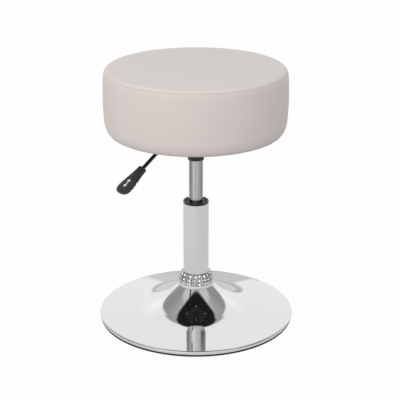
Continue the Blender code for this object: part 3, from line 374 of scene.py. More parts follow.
lathe, given = new_tree("lathe", Around="Int", Finish="Material")
line = add(lathe, "GeometryNodeMeshToCurve", {"Mesh": given["Geometry"]})
point = add(lathe, "SeparateXYZ", {0: add(lathe, "GeometryNodeInputPosition")})
reach = maths(lathe, "SUBTRACT", point.outputs["X"], SPINDLE)
rise = maths(lathe, "MULTIPLY", point.outputs["Z"], -1.0)
flat = add(lathe, "CombineXYZ", {"X": reach, "Y": rise})
profile = add(lathe, "GeometryNodeSetPosition", {"Geometry": line, "Position": flat})
circle = add(lathe, "GeometryNodeCurvePrimitiveCircle", {"Resolution": given["Around"], "Radius": SPINDLE})
spun = add(lathe, "GeometryNodeCurveToMesh", {"Curve": circle, "Profile Curve": profile})
joined = add(lathe, "GeometryNodeMergeByDistance", {"Geometry": spun, "Distance": 1e-6})
close_tree(lathe, given, joined)


def turned(name, outline, finish, around=128, closed=True):
    """A piece turned from (radius, height) points. An open outline has both ends on the axis."""
    mesh = bpy.data.meshes.new("outline")
    links = [(i, i + 1) for i in range(len(outline) - 1)]
    if closed:
        links.append((len(outline) - 1, 0))
    mesh.from_pydata([(r, 0.0, z) for r, z in outline], links, [])
    return new_piece(name, outward(grow(lathe, mesh, Around=around, Finish=finish)))


def arc(centre, radius, start, end, steps):
    """Points on a circle, with angles in degrees from the outward side."""
    turns = [radians(start + (end - start) * step / steps) for step in range(steps + 1)]
    return [(centre[0] + radius * cos(t), centre[1] + radius * sin(t)) for t in turns]


def bend(start, corner, end, steps):
    """Points on a curve that leaves start towards the corner and comes to end from it."""
    shares = [step / steps for step in range(steps + 1)]
    return [tuple(start.lerp(corner, t).lerp(corner.lerp(end, t), t)) for t in shares]


def rounded(corners, steps=6):
    """An outline from (radius, height) or (radius, height, fillet) corners."""
    points = []
    for index, corner in enumerate(corners):
        here = Vector(corner[:2])
        if len(corner) == 2:
            points.append(tuple(here))
            continue
        before = Vector(corners[index - 1][:2]) - here
        after = Vector(corners[(index + 1) % len(corners)][:2]) - here
        half = before.angle(after) / 2
        size = min(corner[2] / tan(half), before.length * 0.48, after.length * 0.48)
        points += bend(here + before.normalized() * size, here, here + after.normalized() * size, steps)
    return points


def spans(name):
    """Outer radius, bottom and top of a round CAD piece."""
    low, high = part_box(name)
    return high.x, low.z, high.z


def settle(piece, body, slot, *stands_for):
    """Hands a finished piece to the frame."""
    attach(piece, body)
    if stands_for:
        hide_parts(*stands_for)
    print(piece.name, len(piece.data.polygons), "faces, rides on", body)
    return piece


# %% [markdown]
# ## Trumpet base
# The base is one sheet of steel, spun over a form. A steep neck bends into the cone of the bell, the bell folds
# over into a shallow disc, and the rim is rolled down to a skirt. It is the main mirror of the stool: the dark
# spade on the bell is the black underside of the seat, and its shape tells the slopes. So the outline has many
# points and the lathe many steps.

# %% Base
FIT = 0.0003  # left between pieces that fit in one another
BASE_RADIUS, SKIRT_BOTTOM, _ = spans("base_shell")
RIM_HEIGHT, RIM_FILLET, SHEET = 0.0105, 0.0042, 0.0015
HEM = BASE_RADIUS - 0.0014  # the skirt draws in a little towards the floor
DISC_SLOPE, BELL_SLOPE, NECK_SLOPE = radians(7.95), radians(21.2), radians(45.2)
NECK_RADIUS, NECK_HEIGHT, FOOT_RADIUS = 0.0305, 0.0724, 0.1119
BELL_BEND, FOOT_BEND = 0.0331, 0.0168


def disc_height(radius):
    """Top of the plain disc."""
    return RIM_HEIGHT + (BASE_RADIUS - radius) * tan(DISC_SLOPE)


def inset(points, depth):
    """The points of an outline, moved square to it by the depth of the sheet."""
    moved = []
    for index, here in enumerate(points):
        before, after = points[max(index - 1, 0)], points[min(index + 1, len(points) - 1)]
        run = (Vector(after) - Vector(before)).normalized()
        moved.append((here[0] + depth * run.y, here[1] - depth * run.x))
    return moved


neck = Vector((NECK_RADIUS, NECK_HEIGHT))
foot = Vector((FOOT_RADIUS, disc_height(FOOT_RADIUS)))
fall, slope = tan(NECK_SLOPE), tan(BELL_SLOPE)
waist_radius = (neck.y + neck.x * fall - foot.y - foot.x * slope) / (fall - slope)
waist = Vector((waist_radius, neck.y - (waist_radius - neck.x) * fall))
up = (waist - foot).normalized()
out = Vector((cos(DISC_SLOPE), -sin(DISC_SLOPE)))
cone_top, cone_foot = waist - up * BELL_BEND, foot + up * FOOT_BEND
bell = bend(neck, waist, cone_top, 36)
bell += [tuple(cone_top.lerp(cone_foot, step / 6)) for step in range(1, 6)]
bell += bend(cone_foot, foot, foot + out * FOOT_BEND, 14)
start, edge = bell[-1][0], BASE_RADIUS - RIM_FILLET
radii = [start + (edge - start) * step / 10 for step in range(1, 10)]
disc = [(radius, disc_height(radius)) for radius in radii]
rim = arc((edge, disc_height(edge) - RIM_FILLET), RIM_FILLET, 84, 0, 10)
skirt = [(HEM, SKIRT_BOTTOM + 0.0004), (HEM - 0.0004, SKIRT_BOTTOM)]
inside = inset(bell[::4] + disc[::3] + rim[::5], SHEET) + [(HEM - SHEET, SKIRT_BOTTOM)]
base = turned("trumpet_base", bell + disc + rim + skirt + inside[::-1], chrome, around=288)
settle(base, "base", "chrome_plate", "base_shell")

# %% [markdown]
# ## Rubber foot
# A rubber ring under the skirt keeps the chrome off the floor. Its ledge shows as a thin black line, and its lip
# grips the sheet from inside.

# %% Rubber foot
lip = HEM - SHEET - FIT
ledge = SKIRT_BOTTOM - FIT
LIP_WIDTH, LIP_RISE, ROUND_OFF = 0.004, 0.008, 0.0008
corners = [
    (lip - LIP_WIDTH, LIP_RISE, ROUND_OFF), (lip, LIP_RISE, ROUND_OFF), (lip, ledge), (HEM, ledge, 0.0005),
    (HEM, 0.0, 0.0012), (HEM - 0.0025, 0.0), (HEM - 0.0030, 0.0006), (HEM - 0.0036, 0.0),
    (lip - LIP_WIDTH, 0.0, ROUND_OFF),
]
foot_ring = turned("rubber_foot", rounded(corners, 4), rubber, around=256)
settle(foot_ring, "base", "black_rubber", "rubber_rim")

# %% [markdown]
# ## Column and collar
# The column is a chromed tube that stands in the base. A collar hides the joint and carries the glass.

# %% Column
TUBE_RADIUS, TUBE_BOTTOM, TUBE_TOP = spans("column_tube")
TUBE_WALL, END_HOLE, END_THICK = 0.0018, 0.0183, 0.002
corners = [
    (TUBE_RADIUS - TUBE_WALL, TUBE_TOP, 0.0003), (TUBE_RADIUS, TUBE_TOP, 0.0006), (TUBE_RADIUS, TUBE_BOTTOM, 0.0006),
    (END_HOLE, TUBE_BOTTOM), (END_HOLE, TUBE_BOTTOM + END_THICK),
    (TUBE_RADIUS - TUBE_WALL, TUBE_BOTTOM + END_THICK),
]
settle(turned("column", rounded(corners, 4), chrome), "base", "chrome_plate", "column_tube")

# %% Collar
_, RING_BOTTOM, RING_TOP = spans("ring_collar")
LIP_RADIUS, LIP_HEIGHT, STONE_DEPTH = 0.0360, 0.0062, 0.0025
BORE = TUBE_RADIUS + FIT
bed_foot = Vector((LIP_RADIUS - STONE_DEPTH, RING_BOTTOM + LIP_HEIGHT))
bed_shoulder = Vector((0.0301, RING_TOP - 0.0057))
bed_crown = Vector((BORE + 0.0007, RING_TOP))
beds = [bed_foot, (bed_foot + bed_shoulder) / 2, bed_shoulder, bed_crown]
drop = NECK_HEIGHT - RING_BOTTOM
inside = NECK_RADIUS + 3 * FIT
corners = [
    (BORE, RING_TOP), *[tuple(end) for end in reversed(beds)],
    (LIP_RADIUS - 0.0013, bed_foot.y, 0.0009), (LIP_RADIUS, RING_BOTTOM, 0.0012),
    (inside + drop / tan(NECK_SLOPE), RING_BOTTOM), (inside, NECK_HEIGHT),
    (NECK_RADIUS, NECK_HEIGHT + FIT), (BORE, NECK_HEIGHT + FIT),
]
settle(turned("collar", rounded(corners), chrome), "base", "chrome_plate", "ring_collar")

# %% [markdown]
# ## A ring of pieces
# Stones, claws, ribs, stitches and staples stand in rings round the column's axis. One tree sets the same small
# mesh on points round a circle, turns it outwards, tilts it, and lets it stray a little, from a fixed seed.

# %% The ring tree
floats = dict.fromkeys(("Radius", "Height", "Tilt", "Start", "Wobble"), "Float")
ring, given = new_tree("ring_of_pieces", Count="Int", **floats, Seed="Int", Finish="Material")
points = add(ring, "GeometryNodePoints", {"Count": given["Count"]})
number = maths(ring, "ADD", add(ring, "GeometryNodeInputIndex"), given["Start"])
angle = maths(ring, "MULTIPLY", maths(ring, "DIVIDE", number, given["Count"]), tau)
way = add(ring, "CombineXYZ", {"X": maths(ring, "COSINE", angle), "Y": maths(ring, "SINE", angle)})
out = vector_maths(ring, "SCALE", way, Scale=given["Radius"])
up = add(ring, "CombineXYZ", {"Z": given["Height"]})
spot = vector_maths(ring, "ADD", out, up)
placed = add(ring, "GeometryNodeSetPosition", {"Geometry": points, "Position": spot})
lean = maths(ring, "MULTIPLY", given["Tilt"], -1.0)
facing = add(ring, "CombineXYZ", {"Y": lean, "Z": angle})
limits = {0: (-1.0, -1.0, -1.0), 1: (1.0, 1.0, 1.0), "Seed": given["Seed"]}
chance = add(ring, "FunctionNodeRandomValue", limits, data_type="FLOAT_VECTOR")
stray = vector_maths(ring, "SCALE", chance, Scale=given["Wobble"])
turn = vector_maths(ring, "ADD", facing, stray)
copies = add(ring, "GeometryNodeInstanceOnPoints", {"Points": placed, "Instance": given["Geometry"], "Rotation": turn})
close_tree(ring, given, copies)


def ringed(name, seed, count, radius, height, finish, tilt=0.0, start=0.0, wobble=0.0, seed_number=1):
    """A ring of copies of the mesh seed, whose +X side faces outwards."""
    sizes = {"Count": count, "Radius": radius, "Height": height, "Tilt": tilt, "Start": start, "Wobble": wobble}
    return new_piece(name, grow(ring, seed, Seed=seed_number, Finish=finish, **sizes), sharp=15.0)


# %% [markdown]
# ## Cut stones
# Each stone is a square of glass with a flat table, sloping crown facets and a pointed back. It sits in a
# polished cup of the same shape, which throws the light out again. A facet shows the white room or the black
# underside of the seat, depending on its slope. That is the sparkle, so the facets stay flat.

# %% Stones
CUT, CULET, CROWN_CUT, TABLE = 0.28, 0.22, 0.80, 0.52  # shares of a stone's width


def cut_mesh(width, height, levels):
    """A closed solid of eight sided loops that faces +X. Each level is (depth, share of the width)."""
    shape = bmesh.new()

    def eight(x, share):
        w, h = width / 2 * share, height / 2 * share
        c = CUT * min(w, h)
        ends = [(w - c, -h), (w, c - h), (w, h - c), (w - c, h), (c - w, h), (-w, h - c), (-w, c - h), (c - w, -h)]
        return [shape.verts.new((x, y, z)) for y, z in ends]

    loops = [eight(*level) for level in levels]
    bridge(shape, loops)
    shape.faces.new(loops[-1])
    shape.faces.new(reversed(loops[0]))
    bmesh.ops.recalc_face_normals(shape, faces=shape.faces)
    return plain_mesh("stone", shape)


STONES, STONE_FILL = 20, 0.92  # stones in a row, and the share of the row that they fill
STONE_BACK, CUP_WALL = 0.0011, 0.00006
rise = STONE_DEPTH - STONE_BACK
stone_levels = [(-STONE_BACK, CULET), (0.0, 1.0), (0.12 * rise, 1.0), (0.62 * rise, CROWN_CUT), (rise, TABLE)]
cup_levels = [(-STONE_BACK - 2 * CUP_WALL, 1.0), (-CUP_WALL, 1.0), (-STONE_BACK - CUP_WALL, CULET)]
for row, low, high in zip(("lower", "upper", "top"), beds, beds[1:]):
    run = high - low
    normal = Vector((run.y, -run.x)).normalized()
    middle = (low + high) / 2 + normal * (STONE_BACK + 3 * CUP_WALL)
    lean = atan2(normal.y, normal.x)
    size = (tau * middle.x / STONES * STONE_FILL, run.length * STONE_FILL)
    place = (STONES, middle.x, middle.y)
    laid = {"tilt": lean, "start": 0.5, "wobble": 0.09, "seed_number": 3}
    stones = ringed(f"stones_{row}", cut_mesh(*size, stone_levels), *place, cut_glass, **laid)
    settle(stones, "base", "crystal", f"crystal_row_{row}")
    cups = ringed(f"cups_{row}", cut_mesh(*size, cup_levels), *place, chrome, **laid)
    settle(cups, "base", "chrome_plate")

# %% [markdown]
# Between the stones stand small chromed beads, the claws that hold their corners.

# %% Claws
def bead_mesh(size):
    """A low round bead with a few dozen faces."""
    shape = bmesh.new()
    bmesh.ops.create_icosphere(shape, subdivisions=2, radius=size)
    return plain_mesh("bead", shape)


BEAD, BEAD_OUT = 0.0008, 0.0009
for name, (radius, height), lift in zip(("low", "waist", "high"), beds, (0.0004, 0.0, 0.0)):
    claws = ringed(f"claws_{name}", bead_mesh(BEAD), STONES, radius + BEAD_OUT, height + lift, chrome)
    settle(claws, "base", "chrome_plate")

# %% [markdown]
# ## Guide bush
# The moulded bush on top of the column is a turned form with a sunk ring in its cap. Ribs cross that ring, so
# the cap is broken up by light and dark patches.

# %% Bush
BUSH_BORE, POCKET_INSIDE, POCKET_OUTSIDE, POCKET_DEPTH, RIBS = 0.0144, 0.0018, 0.0030, 0.0014, 16
_, BUSH_BOTTOM, BUSH_TOP = spans("guide_bush")
FLANGE_BOTTOM = TUBE_TOP + FIT
WALL_RADIUS = TUBE_RADIUS - TUBE_WALL - FIT
WAIST, WAIST_END, WAIST_CUT = BUSH_BORE + 0.0028, 0.012, 0.0156  # the wall is thinner between its two ends
corners = [
    (BUSH_BORE, BUSH_TOP - 0.0008, 0.0004), (BUSH_BORE + 0.0012, BUSH_TOP - 0.0008, 0.0004),
    (BUSH_BORE + POCKET_INSIDE, BUSH_TOP - POCKET_DEPTH), (TUBE_RADIUS - POCKET_OUTSIDE, BUSH_TOP - POCKET_DEPTH),
    (TUBE_RADIUS - 0.0024, BUSH_TOP, 0.0006), (TUBE_RADIUS, BUSH_TOP, 0.0013),
    (TUBE_RADIUS, FLANGE_BOTTOM, 0.0003), (WALL_RADIUS, FLANGE_BOTTOM), (WALL_RADIUS, TUBE_TOP - WAIST_END),
    (WAIST, TUBE_TOP - WAIST_CUT), (WAIST, BUSH_BOTTOM + WAIST_CUT), (WALL_RADIUS, BUSH_BOTTOM + WAIST_END),
    (WALL_RADIUS, BUSH_BOTTOM), (BUSH_BORE, BUSH_BOTTOM),
]
bush = turned("guide_bush_cap", rounded(corners, 5), glossy_plastic)
settle(bush, "base", "black_plastic", "guide_bush")

# %% Ribs
def bar_mesh(length, width, height, round_off):
    """A bar along X with rounded edges, standing on z = 0."""
    shape = bmesh.new()
    bmesh.ops.create_cube(shape, size=1.0)
    bmesh.ops.scale(shape, vec=(length, width, height), verts=shape.verts)
    bmesh.ops.translate(shape, vec=(0.0, 0.0, height / 2), verts=shape.verts)
    bmesh.ops.bevel(shape, geom=shape.edges[:], offset=round_off, segments=2, profile=0.5, affect="EDGES")
    return plain_mesh("bar", shape)


rib = bar_mesh(0.0064, 0.0012, 0.0012, 0.0004)
rib_middle = (BUSH_BORE + POCKET_INSIDE + TUBE_RADIUS - POCKET_OUTSIDE) / 2
ribs = ringed("bush_ribs", rib, RIBS, rib_middle, BUSH_TOP - 0.0016, glossy_plastic)
settle(ribs, "base", "black_plastic")

# %% [markdown]
# ## Gas cylinder and hub
# The cylinder slides through the bush when the seat moves, and wedges into a hub below the seat.

# %% Cylinder and hub
CYLINDER_RADIUS, CYLINDER_BOTTOM, CYLINDER_TOP = spans("gas_cylinder")
HUB_RADIUS, HUB_BOTTOM, HUB_TOP = spans("seat_hub")
BARREL, END_LIP = CYLINDER_RADIUS - 0.0016, 0.0012
corners = [
    (BARREL, CYLINDER_TOP), (CYLINDER_RADIUS - 0.0007, CYLINDER_TOP, 0.0005), (CYLINDER_RADIUS, HUB_BOTTOM),
    (CYLINDER_RADIUS, CYLINDER_BOTTOM, 0.0008), (BARREL - END_LIP, CYLINDER_BOTTOM, 0.0003),
    (BARREL - END_LIP, CYLINDER_BOTTOM + END_LIP), (BARREL, CYLINDER_BOTTOM + END_LIP),
]
cylinder = turned("gas_lift_cylinder", rounded(corners, 4), drawn_tube)
settle(cylinder, "seat", "satin_steel", "gas_cylinder")
corners = [
    (CYLINDER_RADIUS - FIT, HUB_TOP), (HUB_RADIUS, HUB_TOP, 0.0004), (HUB_RADIUS, HUB_BOTTOM, 0.0010),
    (CYLINDER_RADIUS + FIT, HUB_BOTTOM, 0.0003),
]
settle(turned("taper_hub", rounded(corners, 4), powder_coat), "seat", "black_paint", "seat_hub")

# %% [markdown]
# ## The cushion
# A round foam block in a cover of two panels: a disc on top, and a side band that is turned under the board and
# stapled. They are sewn together on the rounded top edge, and the seam sinks into the foam. The outline is turned
# first, a little flat. A cloth simulation then blows a coarse copy up, as the squeezed foam does. No point sinks,
# and the tight cover lets none rise by more than a little. That share of the movement goes to the fine mesh.

# %% Outline of the cushion
SEAT_TOP, SEAT_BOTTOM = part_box("cover_top")[1].z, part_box("cover_side")[0].z
SEAT_EDGE, SIDE_DRAW, CROWN = 0.1772, 0.0015, 0.0033
EDGE_REACH, EDGE_DROP = 0.0098, 0.0173
BOTTOM_REACH, BOTTOM_RISE = 0.0153, 0.0309
SEAM = radians(41)
SWELL = 0.0014  # what the pressed foam adds to the crown, so the outline starts that much flatter
edge_centre = (SEAT_EDGE - EDGE_REACH, SEAT_TOP - CROWN - EDGE_DROP)
bottom_centre = (SEAT_EDGE - BOTTOM_REACH, SEAT_BOTTOM + BOTTOM_RISE)
SEAM_STEP = hypot(EDGE_REACH * sin(SEAM), EDGE_DROP * cos(SEAM))  # length of a radian at the seam


def on_edge(turn, out):
    """A point at this angle on the rounded top edge, out from its curve."""
    across = Vector((cos(turn) / EDGE_REACH, sin(turn) / EDGE_DROP)).normalized()
    curve = Vector((EDGE_REACH * cos(turn), EDGE_DROP * sin(turn)))
    return tuple(Vector(edge_centre) + curve + across * out)


def seam_height(across):
    """Height of the cover beside the seam: a sunk groove between two soft lips."""
    groove = -0.0009 * exp(-((across / 0.0006) ** 2))
    lips = 0.0003 * exp(-(((abs(across) - 0.0018) / 0.0011) ** 2))
    return groove + lips


cushion_outline = [(edge_centre[0] * s / 24, SEAT_TOP - SWELL - (CROWN - SWELL) * (s / 24) ** 2) for s in range(24)]
turns = [pi / 2 - (pi / 2 - SEAM - 0.40) * s / 6 for s in range(6)]
turns += [SEAM + 0.40 - 0.80 * s / 56 for s in range(57)]
turns += [(SEAM - 0.40) * (1 - s / 8) for s in range(1, 8)]
cushion_outline += [on_edge(turn, seam_height((turn - SEAM) * SEAM_STEP)) for turn in turns]
for s in range(24):
    share = s / 24
    swell = SIDE_DRAW * 4 * share * (1 - share)
    cushion_outline.append((SEAT_EDGE + swell, edge_centre[1] + (bottom_centre[1] - edge_centre[1]) * share))
for s in range(19):
    turn = -pi / 2 * s / 18
    lift = Vector((BOTTOM_REACH * cos(turn), BOTTOM_RISE * sin(turn)))
    cushion_outline.append(tuple(Vector(bottom_centre) + lift))
BOARD_RADIUS, _, BOARD_TOP = spans("seat_board")
cushion_outline += [(radius, SEAT_BOTTOM) for radius in (0.156, 0.151, 0.145, 0.1399)]
cushion_outline += [(radius, SEAT_BOTTOM + 0.0012) for radius in (0.1399, BOARD_RADIUS + FIT)]
cushion_outline += [(BOARD_RADIUS + FIT, BOARD_TOP + FIT), (0.0, BOARD_TOP + FIT)]
cushion = turned("seat_cushion", cushion_outline, leatherette, around=360, closed=False)
print(cushion.name, len(cushion.data.vertices), "points")

# %% Swelling
VOXEL, PRESSURE, FRAMES = 0.005, 4.0, 20
HELD_HEIGHT, HELD_RADIUS = SEAT_BOTTOM + 0.018, 0.166  # the board holds what is lower and further in


def swollen(source):
    """Points and movement of a coarse copy of the cushion that pressure has blown up."""
    rough = new_object("rough_cushion", source.data.copy())
    mould = rough.modifiers.new("mould", "REMESH")
    mould.mode = "VOXEL"
    mould.voxel_size = VOXEL
    rough.data = result(rough)
    rough.modifiers.clear()
    start = [vert.co.copy() for vert in rough.data.vertices]
    normals = [vert.normal.copy() for vert in rough.data.vertices]
    held = rough.vertex_groups.new(name="held")
    inner = [i for i, co in enumerate(start) if co.z < HELD_HEIGHT and co.xy.length < HELD_RADIUS]
    held.add(inner, 1.0, "ADD")
    cloth = rough.modifiers.new("cloth", "CLOTH")
    cloth.settings.vertex_group_mass = "held"
    cloth.settings.use_pressure = True
    cloth.settings.uniform_pressure_force = PRESSURE
    cloth.settings.effector_weights.gravity = 0.0
    for number in range(1, FRAMES + 1):
        bpy.context.scene.frame_set(number)
    blown = result(rough)
    lifts = [max((vert.co - co).dot(n), 0.0) for vert, co, n in zip(blown.vertices, start, normals)]
    moves = [n * lift * SWELL / max(lifts) for n, lift in zip(normals, lifts)]
    blown.calc_loop_triangles()
    triangles = [tuple(part.vertices) for part in blown.loop_triangles]
    bpy.data.objects.remove(rough)
    bpy.context.scene.frame_set(1)
    return start, moves, triangles


start, moves, triangles = swollen(cushion)
near = BVHTree.FromPolygons(start, triangles)
for vert in cushion.data.vertices:
    spot, _, index, _ = near.find_nearest(vert.co)
    ends = triangles[index]
    weights = interpolate.poly_3d_calc([start[i] for i in ends], spot)
    vert.co += sum((moves[i] * w for i, w in zip(ends, weights)), Vector())
print("swollen by up to", round(max(move.length for move in moves) * 1000, 2), "mm")

# %% [markdown]
# A sewn cover is never quite even. The stitches gather it into fine puckers beside the seam, the band ripples
# where it is pulled round the bottom edge, and the side has slow waves. These are small moves of the points,
# from a noise that is the same on every run.

# %% Puckers, pleats and waves
PUCKER, PLEAT, WAVE = 0.0003, 0.0009, 0.0006  # the most that each of them moves a point
for vert in cushion.data.vertices:
    bearing = atan2(vert.co.y, vert.co.x)
    span = Vector((cos(bearing), sin(bearing)))
    radius, height = vert.co.xy.length, vert.co.z
    if radius < 0.10 or height < SEAT_BOTTOM + 0.0005:
        continue
    out = Vector(((radius - edge_centre[0]) / EDGE_REACH, (height - edge_centre[1]) / EDGE_DROP))
    across = (atan2(out.y, out.x) - SEAM) * SEAM_STEP if out.x > -0.4 else 0.02
    pucker = PUCKER * exp(-((across / 0.006) ** 2)) * noise.noise((*(span * 11.0), 2.0))
    pull = exp(-(((height - SEAT_BOTTOM) / 0.020) ** 2))
    pleat = PLEAT * pull * noise.noise((*(span * 9.0), 7.0))
    wave = WAVE * noise.noise((*(span * 3.0), height * 14.0)) if height < edge_centre[1] else 0.0
    vert.co.xy += span * (pucker + pleat + wave)
    vert.co.z += pucker
cushion.data.update()
settle(cushion, "seat", "leatherette", "seat_foam", "cover_side", "cover_top")

# %% [markdown]
# ## Seam thread
# In the groove, short stitches cross from one panel to the other about every four millimetres. They are a
# ring of small bars that lie along the curve of the edge.

# %% Stitches
STITCHES = 270
stitch = bar_mesh(0.0006, 0.0011, 0.0020, 0.00025)
stitch_radius, stitch_height = on_edge(SEAM, -0.0008)
laid = {"tilt": SEAM, "wobble": 0.06, "seed_number": 5}
stitches = ringed("seam_stitches", stitch, STITCHES, stitch_radius, stitch_height - 0.0009, thread, **laid)
settle(stitches, "seat", "leatherette")

# %% [markdown]
# ## Dust cover
# A disc of black felt closes the seat from below. It is stretched over the board and stapled round its edge, so
# it is nearly flat, with slight tucks between the staples.

# %% Dust cover and staples
DUST_RADIUS, low, high = spans("dust_cover")
DUST_LEVEL = (low + high) / 2
DUST_RINGS, DUST_STEPS, STAPLES, TUCK = 14, 144, 36, 0.00015
shape = bmesh.new()
middle = shape.verts.new((0.0, 0.0, DUST_LEVEL))
rows = []
for step in range(1, DUST_RINGS + 1):
    share = step / DUST_RINGS
    radius = DUST_RADIUS * step / DUST_RINGS
    row = []
    for i in range(DUST_STEPS):
        turn = tau * i / DUST_STEPS
        tuck = TUCK * sin(STAPLES * turn) * max(0.0, share - 0.6) / 0.4
        row.append(shape.verts.new((radius * cos(turn), radius * sin(turn), DUST_LEVEL + tuck)))
    rows.append(row)
for i in range(DUST_STEPS):
    shape.faces.new((middle, rows[0][i], rows[0][i - 1]))
bridge(shape, rows)
dust_cover = new_piece("felt_dust_cover", plain_mesh("felt_disc", shape, felt))
wall = dust_cover.modifiers.new("wall", "SOLIDIFY")
wall.thickness = 0.0005
wall.offset = 0.0
settle(dust_cover, "seat", "dust_fabric", "dust_cover")
staple = bar_mesh(0.0006, 0.0100, 0.0005, 0.00018)
laid = {"start": 0.25, "wobble": 0.05, "seed_number": 9}
staples = ringed("staples", staple, STAPLES, DUST_RADIUS - 0.0065, DUST_LEVEL - 0.0007, zinc, **laid)
settle(staples, "seat", "plain_steel")

# %% [markdown]
# ## Lever
# The lever is a round rod that is bent down towards its handle. A small tree sweeps a circle along its path. Its
# eye turns on the pivot pin inside the housing.

# %% Rod
HEADING = radians(225)
LEVER_HEIGHT = (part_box("pivot_pin")[0].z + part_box("pivot_pin")[1].z) / 2
PIVOT, BEND, DROOP = 0.042, 0.092, radians(31)
ROD_RADIUS, ROD_REACH, ROD_INSET, KNEE_BEND = 0.0035, 0.0565, 0.025, 0.0055
lever_place = Matrix.Translation((0.0, 0.0, LEVER_HEIGHT)) @ Matrix.Rotation(HEADING, 4, "Z")

sweep, given = new_tree("swept_rod", Radius="Float", Finish="Material")
path = add(sweep, "GeometryNodeMeshToCurve", {"Mesh": given["Geometry"]})
section = add(sweep, "GeometryNodeCurvePrimitiveCircle", {"Resolution": 32, "Radius": given["Radius"]})
drawn = {"Curve": path, "Profile Curve": section, "Fill Caps": True}
skin = add(sweep, "GeometryNodeCurveToMesh", drawn)
close_tree(sweep, given, skin)

droop = Vector((cos(DROOP), -sin(DROOP)))
knee = Vector((BEND, 0.0))
line = [(-0.005, 0.0), *bend(knee - Vector((KNEE_BEND, 0.0)), knee, knee + droop * KNEE_BEND, 12)]
line.append(tuple(knee + droop * (ROD_REACH + ROD_INSET)))
mesh = bpy.data.meshes.new("lever_line")
points = [lever_place @ Vector((x, 0.0, z)) for x, z in line]
mesh.from_pydata(points, [(i, i + 1) for i in range(len(line) - 1)], [])
rod = new_piece("lever_bar", outward(grow(sweep, mesh, Radius=ROD_RADIUS, Finish=powder_coat)))


# %% Eye of the rod
def across_bar(name, radius, half):
    """A round bar on the lever's pivot axis."""
    shape = bmesh.new()
    bmesh.ops.create_cone(shape, cap_ends=True, segments=40, radius1=radius, radius2=radius, depth=2 * half)
    shape.transform(lever_place @ Matrix.Translation((PIVOT, 0.0, 0.0)) @ Matrix.Rotation(pi / 2, 4, "X"))
    return new_object(name, plain_mesh(name, shape))


tools = {"UNION": across_bar("eye", 0.0075, 0.004), "DIFFERENCE": across_bar("eye_bore", 0.0029, 0.012)}
for operation, tool in tools.items():
    step = rod.modifiers.new(operation.lower(), "BOOLEAN")
    step.operation = operation
    step.object = tool
forged = result(rod)
for part in (rod, *tools.values()):
    bpy.data.objects.remove(part)
forged.materials.clear()
forged.materials.append(powder_coat)
settle(new_piece("lever_bar", forged), "lever", "black_paint", "lever_rod")

# %% [markdown]
# ## Handle
# The handle is moulded round the rod: a stout neck with a flat end, which widens into a flat paddle with a
# round tip. Three shallow grips cross its underside. It is lofted from many rounded sections.

# %% Handle
HANDLE, TIP_START, TIP_BLUNT = 0.067, 0.70, 3.0
NECK_WIDTH, PADDLE_WIDENS, NECK_THICK, PADDLE_THINS = 0.0170, 0.0190, 0.0125, 0.0037
GRIP_DEPTH, GRIP_WIDTH, SECTION = 0.0020, 0.0022, 48
handle_place = lever_place @ Matrix.Translation((BEND, 0.0, 0.0)) @ Matrix.Rotation(DROOP, 4, "Y")
handle_place = handle_place @ Matrix.Translation((ROD_REACH, 0.0, 0.0))


def handle_section(share):
    """Half width and half thickness of the handle at this share of its length."""
    rise = min(share / 0.8, 1.0)
    swell = rise * rise * (3 - 2 * rise)
    tip = max(share - TIP_START, 0.0) / (1 - TIP_START)
    taper = max(1 - tip**TIP_BLUNT, 0.0) ** (1 / TIP_BLUNT)
    wide = (NECK_WIDTH + PADDLE_WIDENS * swell) / 2 * taper
    return wide, (NECK_THICK - PADDLE_THINS * swell) / 2 * (0.45 + 0.55 * taper)


def handle_point(share, turn):
    """A point on the handle's skin, in its own frame."""
    wide, thick = handle_section(share)
    x, y = cos(turn), sin(turn)
    full = (abs(x) ** 3 + abs(y) ** 3) ** (1 / 3)
    across, rise = wide * x / full, thick * y / full
    if y < 0:
        grips = sum(exp(-(((share - 0.52 - 0.13 * i) * HANDLE / GRIP_WIDTH) ** 2)) for i in range(3))
        rise += GRIP_DEPTH * grips * min(1.0, -2 * y)
    return Vector((share * HANDLE, across, rise))


shares = [0.012 * s / 3 for s in range(3)] + [0.012 + 0.788 * s / 54 for s in range(54)]
last = (0, 0.5, *range(1, 32), 31.5, 31.8)
shares += [0.8 + 0.2 * sin(pi / 2 * s / 32) for s in last]
shape = bmesh.new()
loops = []
for number, share in enumerate(shares):
    shrink = (0.90, 0.96, 0.99)[number] if number < 3 else 1.0
    loop = []
    for i in range(SECTION):
        point = handle_point(share, tau * i / SECTION)
        loop.append(shape.verts.new(handle_place @ Vector((point.x, point.y * shrink, point.z * shrink))))
    loops.append(loop)
bridge(shape, loops)
shape.faces.new(reversed(loops[0]))
shape.faces.new(loops[-1])
handle = new_piece("paddle_handle", outward(plain_mesh("handle", shape, grained_plastic)), sharp=50.0)
settle(handle, "lever", "black_plastic", "lever_handle")

# %% [markdown]
# A plain white arrow with two heads, printed on top of the handle, says that the lever moves the seat up and
# down. It is a thin film just above the handle's skin.

# %% Arrow
ARROW_MIDDLE, FILM = 0.66 * HANDLE, (0.00018, -0.0002)  # top and bottom of the ink, above the handle's skin
half = [(0.0, 0.0013), (0.0030, 0.0013), (0.0046, 0.0013), (0.0046, 0.0046), (0.0074, 0.0022), (0.0100, 0.0)]
top_side = half[::-1] + [(-x, y) for x, y in half[1:]]
outline = top_side + [(x, -y) for x, y in top_side[-2:0:-1]]


def on_handle(x, y, lift):
    """World place of a point above the handle's top face."""
    wide, thick = handle_section((ARROW_MIDDLE + x) / HANDLE)
    rise = thick * (1 - min(abs(y) / wide, 1.0) ** 3) ** (1 / 3)
    return handle_place @ Vector((ARROW_MIDDLE + x, y, rise + lift))


